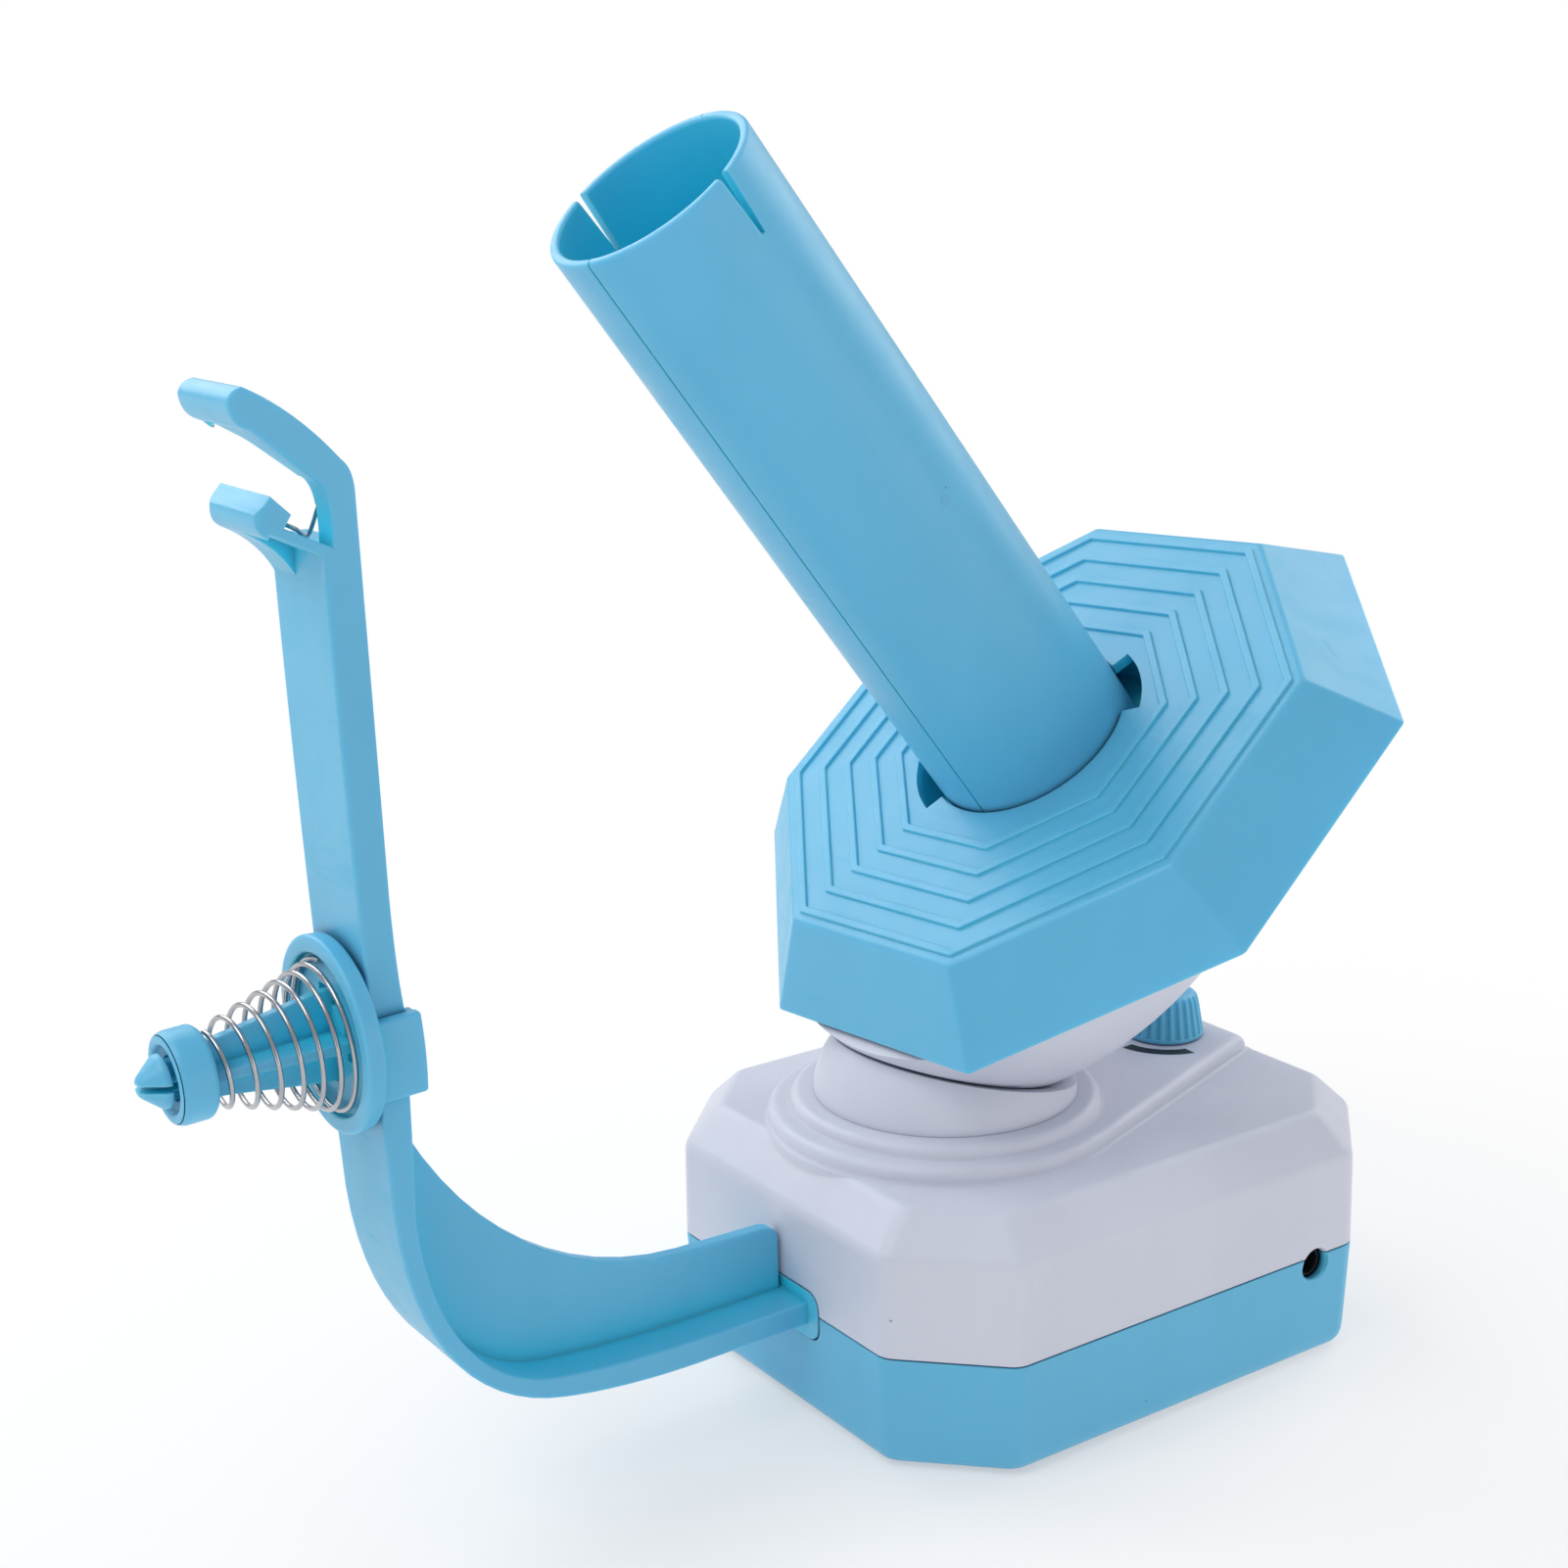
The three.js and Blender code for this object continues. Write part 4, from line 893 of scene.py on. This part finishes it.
def make_head():
    piece(rotor_bell(), "bell", HEAD, "rotor", "white_plastic", WHITE, "rotor_bell")
    piece(rotor_bowl(), "bowl", HEAD, "rotor", "white_plastic", WHITE, "rotor_bowl")


# ---------------------------------------------------------------- spool
def plate_ring(radius, z, corner=0.5, side=10):
    angles = [math.radians(PLATE["turn"] + 45 * i) for i in range(8)]
    corners = [Vector((radius * math.cos(a), radius * math.sin(a))) for a in angles]
    return lifted(rounded(corners, corner, 4, side), z)


def plate_circle(radius, z):
    """A circle whose points face those of the plate's eight-sided rings."""
    ring = []
    for p in plate_ring(40, 0):
        direction = Vector((p.x, p.y)).normalized()
        ring.append(Vector((direction.x * radius, direction.y * radius, z)))
    return ring


def plate_ribs():
    """Rings over the top of the plate from its rim inwards, up and down over each rib."""
    rings = []
    top = PLATE["top"]
    for i in range(RIB["count"]):
        outer = RIB["outer"] - RIB["pitch"] * i
        inner = outer - RIB["width"]
        ease = 0.18
        rings += [
            plate_ring(outer + 0.1, top), plate_ring(outer, top + ease), plate_ring(outer, top + RIB["height"] - ease),
            plate_ring(outer - ease, top + RIB["height"]), plate_ring(inner + ease, top + RIB["height"]),
            plate_ring(inner, top + RIB["height"] - ease), plate_ring(inner, top + ease), plate_ring(inner - 0.1, top),
        ]
    return rings


def spool_plate():
    top, rim = PLATE["top"], PLATE["rim"]
    wall, socket_floor = 2.2, -46.2
    slope = (PLATE["rim_radius"] - PLATE["top_radius"]) / (top - rim)
    outside = softened(
        [
            Vector((PLATE["rim_radius"] - 1.5, rim)), Vector((PLATE["rim_radius"], rim)),
            Vector((PLATE["top_radius"], top)), Vector((PLATE["top_radius"] - 1.5, top)),
        ],
        (0.6, 0.8), 4,
    )
    rings = [plate_circle(r, z) for r, z in [
        (20.6, top - wall), (25.2, top - wall), (25.2, -44.2), (8.5, -44.2), (8.5, -35.3), (8.2, -35.0),
        (4.5, -35.0), (4.25, -35.25), (4.25, socket_floor), (26.6, socket_floor), (27.2, -45.6),
        (27.2, top - wall - 0.2), (27.6, top - wall),
    ]]
    rings.append(plate_ring(PLATE["top_radius"] - 2.8, top - wall, 1.0))
    rings.append(plate_ring(PLATE["rim_radius"] - 1.5 - 0.8 * slope, rim + 0.8, 1.4))
    rings += [plate_ring(r, z, 1.6 if z < top - 1 else 1.2) for r, z in outside]
    rings += plate_ribs()
    rings += [plate_circle(20.85, top), plate_circle(20.6, top - 0.25)]
    plate = skinned(rings, loop=True)
    notches = [sector(19, NOTCH["radius"], NOTCH["start"] + turn, NOTCH["sweep"], top - 2.0 - wall, top + 4)
               for turn in (0, 180)]
    return cut(plate, *notches)


def sector(inner, outer, start, sweep, low, high):
    """Part of a ring between two radii and two heights."""
    angles = spread(math.radians(start), math.radians(start + sweep), 16)
    flat = [Vector((outer * math.cos(a), outer * math.sin(a))) for a in angles]
    flat += [Vector((inner * math.cos(a), inner * math.sin(a))) for a in reversed(angles)]
    return skinned([lifted(flat, low), lifted(flat, high)])


def tube_angles():
    """Even steps round the tube, with extra ones at its two mould seams."""
    seams = [math.radians(a) for a in (15, 195)]
    angles = {2 * math.pi * i / 144 for i in range(144)}
    angles = {a for a in angles if all(abs(a - s) > 0.034 for s in seams)}
    for s in seams:
        angles |= {s + k for k in (-0.03, -0.013, -0.008, 0.008, 0.013, 0.03)}
    return sorted(angles), seams


def tube_ring(radius, z, groove):
    angles, seams = tube_angles()
    ring = []
    for a in angles:
        painted_hollow_factor = groove if any(abs(a - s) < 0.01 for s in seams) else 0
        ring.append(Vector(((radius - painted_hollow_factor) * math.cos(a), (radius - painted_hollow_factor) * math.sin(a), z)))
    return ring


def yarn_tube():
    low, high = TUBE["foot"], PLATE["top"] + TUBE["length"]
    outer, top, wall = TUBE["radius"], TUBE["top_radius"], TUBE["wall"]
    outline = soft_profile(
        [
            (outer - wall, low), (outer, low), (top, high), (top - wall, high), (outer - wall, low + 8),
            (outer - wall, low + 1),
        ],
        (0.4, 0.75, 0.75, 0.2), 5,
    )
    rings = [tube_ring(r, z, 0.45 if r > outer - wall / 2 - 0.5 else 0.06) for r, z in outline]
    wall_solid = skinned(rings, loop=True)
    lugs = [sector(19.2, 24, NOTCH["start"] - 40 + turn, 37, -39, -36) for turn in (0, 180)]
    slits = []
    for angle in (99.5, -80.5):
        painted_hollow_factor = 12
        level = [(0.45, high - painted_hollow_factor), (0.5, high - painted_hollow_factor + 0.6), (1.15, high + 1)]
        rings = [[Vector((x, y, z)) for x, y in ((16, -half), (24, -half), (24, half), (16, half))]
                 for half, z in level]
        slits.append(turned_by(skinned(rings), "Z", angle))
    mark = turned([(0.45, 0), (0.9, 0.4), (0.9, 4), (1.5, 4), (1.5, 0.4), (1.1, 0)], 32, loop=True)
    gate = moved(turned_by(mark, "Y", 90), Matrix.Translation((19.83, 0, 29.0)))
    gate = turned_by(gate, "Z", 99)
    return cut(join(wall_solid, *lugs), gate, *slits)


def make_spool():
    piece(spool_plate(), "plate", SPOOL, "spool", "blue_plastic", BLUE, "spool_plate")
    piece(yarn_tube(), "tube", SPOOL, "tube", "blue_plastic", BLUE, "yarn_tube")


# ---------------------------------------------------------------- yarn arm, in the base's frame
def arm_strip():
    """Side view of the broad strip: foot, bend, upright and the two prongs of the yarn hook."""
    path = curve(
        (-59.6, 20.2), ((-84, 19.8),), ((-100, 19.8), (-112, 22.2)), ((-128.6, 25.2), (-140.3, 39.6), (-142.5, 64)),
        ((-145.9, 120), (-147.1, 171.4)), ((-149.8, 176.6), (-155.6, 179.4)), ((-158, 181), (-157.2, 183.6)),
        ((-154.9, 186.1),), ((-151.7, 183),), ((-153, 181),), ((-145.4, LEDGE_Z),),
        ((-145, 185.6), (-147.4, 187.7)), ((-157.2, 196),), ((-160.4, 196.8), (-160.7, 200.4)),
        ((-160.2, 202.4), (-158, 202.6)), ((-150, 198.8), (-143, 190.6)), ((-141, 189), (-141, 185)),
        ((-139.7, 120),), ((-139.3, 108), (-138.3, 101)), ((-138.3, 88),), ((-138.3, 78), (-138.6, 64)),
        ((-137.3, 42), (-127, 27.8), (-112, 26.3)), ((-100, 24.8), (-84, 24.6)), ((-59.6, 24.6),),
    )
    return slab(path, ARM_WIDTH / 2, 0.55)


def arm_web():
    path = curve(
        (-60.6, 23), ((-60.6, 35),), ((-60.8, 37.2), (-64, 37.6)), ((-82, 38),),
        ((-110, 39), (-131, 60), (-140.5, 87)), ((-141.6, 70), (-140, 56)), ((-137, 38), (-126, 26), (-112, 24.6)),
        ((-98, 22.8), (-84, 23)),
    )
    return slab(path, 1.5, 0.5)


def guide_path():
    return through([
        (-143.5, -6.5, 188), (-145, -4.9, 183.5), (-146, -2, 178.3), (-149, -4.5, 179.9), (-152.5, -7.5, 181.6),
        (-155, -7.6, 183.3),
    ])


def hook_cuts():
    """What is taken off the hook to leave its ledge, its neck on the near side and its slanting prong."""
    far = ARM_WIDTH / 2 + 0.1
    neck = block(-147.6, -137, NECK_Y, far, LEDGE_Z, 190)
    corners = [(-159.5, far), (-154.5, -1.5), (-146.5, -4.0), (-141.5, NECK_Y), (-137, NECK_Y), (-137, far)]
    outline = rounded([Vector(c) for c in corners], 3.5, 10)
    prong = skinned([lifted(outline, 186.6), lifted(outline, 204)])
    side = [(-155.5, 180.4), (-147.3, 176.2), (-147.3, 171), (-158, 171)]
    pocket = skinned([[Vector((x, y, z)) for x, z in side] for y in (-far, 0.7)])
    return neck, prong, pocket


def tip_corners():
    """What is taken off both corners of the lower prong's tip to round it in plan."""
    radius, tip = 3.2, -158.0
    cutters = []
    for side in (-1, 1):
        y = side * (ARM_WIDTH / 2 - radius)
        corner = block(tip - 2, tip + radius, min(y, y + side * 6), max(y, y + side * 6), 178.0, 188.0)
        cutters.append(cut(corner, rod(170, 190, radius, count=48, x=tip + radius, y=y)))
    return cutters


def yarn_arm():
    plug = join(soft_block(-57.8, -47, -11.5, -3, 18.5, 25.7, 0.6), soft_block(-57.8, -47, 3, 11.5, 18.5, 25.7, 0.6))
    arm = join(arm_strip(), arm_web(), arm_tab(), plug)
    return cut(arm, *hook_cuts(), *tip_corners(), swept(guide_path(), 0.55))


def tension_disc():
    """Dished disc, tapered cross-shaped post with a split snap tip, and the clip that grips the arm."""
    disc = turned(soft_profile(
        [(4, GAP), (16.7, GAP), (17.0, 3.6), (14.0, 3.6), (13.8, 2.2), (4, 2.2)], (0.6, 0.9, 0.5, 0.3),
    ), 128)
    fins = [soft_fin(), turned_by(soft_fin(), "Z", 90)]
    barb = turned(soft_profile([(2.0, 31.0), (4.6, 31.0), (4.4, 32.0), (1.6, 35.3), (0.6, 35.6)], (0.3, 0.5, 0.6)), 48)
    split = block(-0.6, 0.6, -7, 7, 24, 40)
    windows = [turned_by(soft_block(-3, 3, 5.4, 8.4, -1, 5, 0.4), "Z", turn) for turn in (0, 90, 180, 270)]
    body = join(cut(disc, *windows), *fins, barb)
    jaws = [clip_jaw(side) for side in (-1, 1)]
    return join(cut(body, split), *jaws)


def soft_fin():
    """One blade of the post, wide at the disc and narrow at the tip."""
    half = [(8.0, 1.0), (8.0, 3.4), (7.3, 8.0), (5.3, 20.0), (4.8, 23.7), (3.4, 23.8), (3.4, 31.1)]
    outline = [Vector((x, z)) for x, z in half] + [Vector((-x, z)) for x, z in reversed(half)]
    return slab(outline, 0.9, 0.25, 2)


def clip_jaw(side):
    """One wall of the clip, bulging a little outwards, with the lip that hooks behind the arm."""
    grip = ARM_WIDTH / 2 + GAP
    low, high, back, out = -9.3, 4.7, -8.5, 2.0
    bulge = [(t, grip + 2.2 + 0.6 * math.sin(math.pi * t)) for t in spread(0.0, 1.0, 13)]
    outline = [Vector((low, grip))] + [Vector((low + (high - low) * t, y)) for t, y in bulge] + [Vector((high, grip))]
    wall = softly(skinned([lifted(outline, back), lifted(outline, out)]), 0.6)
    lip = soft_block(low + 0.4, high - 0.4, grip - 2.4, grip + 2.0, back + 0.05, -7.1, 0.4)
    jaw = join(wall, lip)
    return moved(jaw, Matrix.Scale(-1, 4, (0, 1, 0))) if side < 0 else jaw


def spring_path(steps=48):
    path = []
    turns, low, high = SPRING["turns"], SPRING["low"], SPRING["high"]
    for i in range(turns * steps + 1):
        s = i / (turns * steps)
        angle = s * turns * 2 * math.pi
        radius = SPRING["start"] + (SPRING["end"] - SPRING["start"]) * s ** SPRING["belly"]
        height = low + (high - low) * s ** SPRING["bunching"]
        path.append((radius * math.cos(angle), radius * math.sin(angle), height))
    return path


def tension_cap():
    low, roof, high, radius = CAP["low"], CAP["roof"], CAP["high"], CAP["radius"]
    inner, mouth, bore = CAP["inner"], CAP["mouth"], CAP["bore"]
    profile = soft_profile(
        [
            (inner, low + 0.4), (inner, low), (radius - 0.9, low), (radius, low + 0.9), (radius, high - 0.9),
            (radius - 0.7, high), (mouth + 0.5, high), (mouth, high - 1.0), (bore + 0.6, high - 1.2),
            (bore, high - 1.2), (bore, roof), (inner, roof), (inner, low + 0.5),
        ],
        (0.2, 0.4, 0.5, 0.9, 0.4, 0.5, 0.3, 0.3, 0.1, 0.1, 0.1), 4,
    )
    return turned(profile[:-1], 96, loop=True)


def make_arm():
    wire = MATERIALS["spring_steel"]
    piece(yarn_arm(), "arm", BASE, "arm", "blue_plastic", BLUE, "yarn_arm")
    piece(swept(guide_path(), 0.35, 16), "guide_wire", BASE, "arm", "spring_steel", wire, "wire_guide")
    piece(tension_disc(), "tension_disc_post", TENSION, "arm", "blue_plastic", BLUE, "tension_disc")
    piece(tension_cap(), "snap_cap", TENSION, "cap", "blue_plastic", BLUE, "tension_cap")
    spring = swept(spring_path(), SPRING["wire"], 12)
    piece(spring, "coil_spring", TENSION, "arm", "spring_steel", wire, "tension_spring")
    spring.modifiers.clear()
    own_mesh(spring)


# ---------------------------------------------------------------- speed knob and power socket
def knob_ring(radius, z, groove, count=KNOB_RIBS * 8):
    ring = []
    for i in range(count):
        phase = i % 8
        painted_hollow_factor = groove * (1.0 if phase in (3, 4) else 0.75 if phase in (2, 5) else 0.12 if phase in (1, 6) else 0.0)
        angle = 2 * math.pi * i / count
        ring.append(Vector(((radius - painted_hollow_factor) * math.cos(angle), (radius - painted_hollow_factor) * math.sin(angle), z)))
    return ring


def speed_knob():
    low, high = 52.62, 62.0
    rings = [knob_ring(r, z, g) for r, z, g in [
        (7.7, low, 0), (8.1, low + 0.3, 0), (8.1, low + 1.0, 0), (8.05, low + 1.1, 0.5), (7.7, 56.0, 0.62),
        (7.2, 59.0, 0.62), (6.9, 60.5, 0.6), (6.7, 61.0, 0.5), (6.45, 61.35, 0.3), (6.1, 61.6, 0.1),
        (5.6, 61.8, 0), (5.0, 61.93, 0), (4.2, high, 0), (1.5, high, 0),
    ]]
    knob = skinned(rings)
    hollow = rod(low - 1, 56.4, 6.1, count=48)
    bore = rod(50, 60.2, 3.3, count=32)
    notch = moved(soft_block(5.0, 9.0, -0.35, 0.35, 60.6, 63, 0.1), Matrix.Identity(4))
    return moved(cut(knob, hollow, bore, notch), Matrix.Translation((KNOB_X, 0, 0)))


def dc_jack():
    shell = along_y(soft_profile(
        [(1.0, -48.6), (2.95, -48.6), (2.95, -46.2), (5.4, -46.2), (5.4, -36), (1.0, -36)], (0.3, 0.1, 0.4, 0.4),
    ))
    return cut(shell, along_y([(2.5, -52), (2.5, -39)]))


def make_controls():
    piece(speed_knob(), "knob", BASE, "knob", "blue_plastic", BLUE, "speed_knob")
    piece(dc_jack(), "power_socket", BASE, "base", "black_plastic", MATERIALS["black_plastic"], "dc_jack")
    pin = along_y(soft_profile([(0.2, -47.5), (0.9, -47.5), (0.9, -39.3), (0.2, -39.3)], (0.5, 0.1)))
    piece(pin, "power_pin", BASE, "base", "contact_metal", MATERIALS["contact_metal"], "dc_jack_pin")


# ---------------------------------------------------------------- inner works, kept as the CAD has them
def finish_inner_works():
    """Every CAD node that is still shown gets its record's material; wires are rounded and the rest get eased edges.
    """
    slots = {row["node"]: row["material_slot"] for row in frame["record"]["subparts"]}
    for name, node in frame["nodes"].items():
        if node.hide_render:
            continue
        node.data.materials.clear()
        node.data.materials.append(MATERIALS[slots[name]])
        ease = node.modifiers.new("merge", "WELD")
        ease.merge_threshold = 0.001 * MM
        if "wire" in name:
            node.modifiers.new("round", "SUBSURF").render_levels = 2
            continue
        bevel = node.modifiers.new("ease", "BEVEL")
        bevel.width = 0.12 * MM
        bevel.segments = 2
        bevel.limit_method = "ANGLE"
        bevel.angle_limit = math.radians(40)


# ---------------------------------------------------------------- camera, lights and floor
def camera():
    """The photographer's place: a little above the object, to the left of its front."""
    azimuth, elevation, roll = math.radians(-34.42), math.radians(15.16), math.radians(-1.166)
    distance, aim_right, aim_up, focal = 509.6, -48.63, 109.13, 56.63
    back = Vector((
        math.sin(azimuth) * math.cos(elevation), -math.cos(azimuth) * math.cos(elevation), math.sin(elevation),
    ))
    level = Vector((math.cos(azimuth), math.sin(azimuth), 0))
    rise = back.cross(level)
    right = level * math.cos(roll) + rise * math.sin(roll)
    up = rise * math.cos(roll) - level * math.sin(roll)
    eye = (right * aim_right + up * aim_up + back * distance) * MM
    data = bpy.data.cameras.new("camera")
    data.lens = focal
    data.sensor_width = 36
    data.clip_start = 0.01
    item = bpy.data.objects.new("camera", data)
    bpy.context.scene.collection.objects.link(item)
    item.matrix_world = BASE @ local_frame(eye, right, up, back)
    bpy.context.scene.camera = item


def area_light(name, target, direction, distance, size, power, colour=(1, 1, 1)):
    data = bpy.data.lights.new(name, "AREA")
    data.shape = "DISK"
    data.size = size
    data.energy = power
    data.color = colour
    item = bpy.data.objects.new(name, data)
    bpy.context.scene.collection.objects.link(item)
    towards = Vector(direction).normalized()
    item.location = target + towards * distance
    item.rotation_mode = "QUATERNION"
    item.rotation_quaternion = towards.to_track_quat("Z", "Y")


def lights():
    low, high = CAD_BOUNDS
    target = (low + high) / 2
    area_light("key", target, (-0.9, 0.0, 1.0), 1.0, 0.7, 3.6)
    area_light("back", target, (-0.15, 0.8, 0.62), 1.0, 0.9, 4.4)
    area_light("right", target, (1.0, 0.1, 0.6), 1.1, 0.9, 3.6)
    area_light("front", target, (0.55, -1.0, 0.0), 1.2, 0.9, 2.3)


def studio():
    """Pale light from all round, which the camera itself sees as plain white."""
    world = bpy.data.worlds.new("studio")
    bpy.context.scene.world = world
    world.use_nodes = True
    nodes, links = world.node_tree.nodes, world.node_tree.links
    around = nodes["Background"]
    around.inputs["Color"].default_value = (0.93, 0.95, 1.0, 1.0)
    around.inputs["Strength"].default_value = 0.51
    seen = nodes.new("ShaderNodeBackground")
    seen.inputs["Color"].default_value = (1.0, 1.0, 1.0, 1.0)
    choice = nodes.new("ShaderNodeMixShader")
    rays = nodes.new("ShaderNodeLightPath")
    links.new(rays.outputs["Is Camera Ray"], choice.inputs[0])
    links.new(around.outputs["Background"], choice.inputs[1])
    links.new(seen.outputs["Background"], choice.inputs[2])
    links.new(choice.outputs["Shader"], nodes["World Output"].inputs["Surface"])


def floor():
    """A pale sheet that fades into the white studio away from the object."""
    half = 4.0
    mesh = bpy.data.meshes.new("floor")
    mesh.from_pydata([(-half, -half, 0), (half, -half, 0), (half, half, 0), (-half, half, 0)], [], [(0, 1, 2, 3)])
    item = bpy.data.objects.new("floor", mesh)
    bpy.context.scene.collection.objects.link(item)
    s = Shader("floor")
    tone = s.mixed(s.noise(6, 2.0), (0.88, 0.885, 0.89, 1.0), (0.92, 0.922, 0.925, 1.0))
    sheet = s.add("ShaderNodeBsdfDiffuse")
    s.feed(sheet, Color=tone)
    glow = s.add("ShaderNodeEmission")
    s.feed(glow, Color=(1.0, 1.0, 1.0, 1.0), Strength=1.0)
    away = s.add("ShaderNodeVectorMath", operation="LENGTH")
    s.feed(away, _0=s.place)
    fade = s.ranged(away.outputs["Value"], 0.05, 0.32, 0.45, 1.0)
    surface = s.add("ShaderNodeMixShader")
    s.feed(surface, _0=fade, _1=sheet.outputs["BSDF"], _2=glow.outputs["Emission"])
    s.feed(s.add("ShaderNodeOutputMaterial"), Surface=surface.outputs["Shader"])
    mesh.materials.append(s.material)


def look():
    view = bpy.context.scene.view_settings
    view.view_transform = "Standard"
    view.exposure = 0.0


# ---------------------------------------------------------------- assembly
make_base()
make_head()
make_spool()
make_arm()
make_controls()
finish_inner_works()
camera()
lights()
studio()
floor()
look()
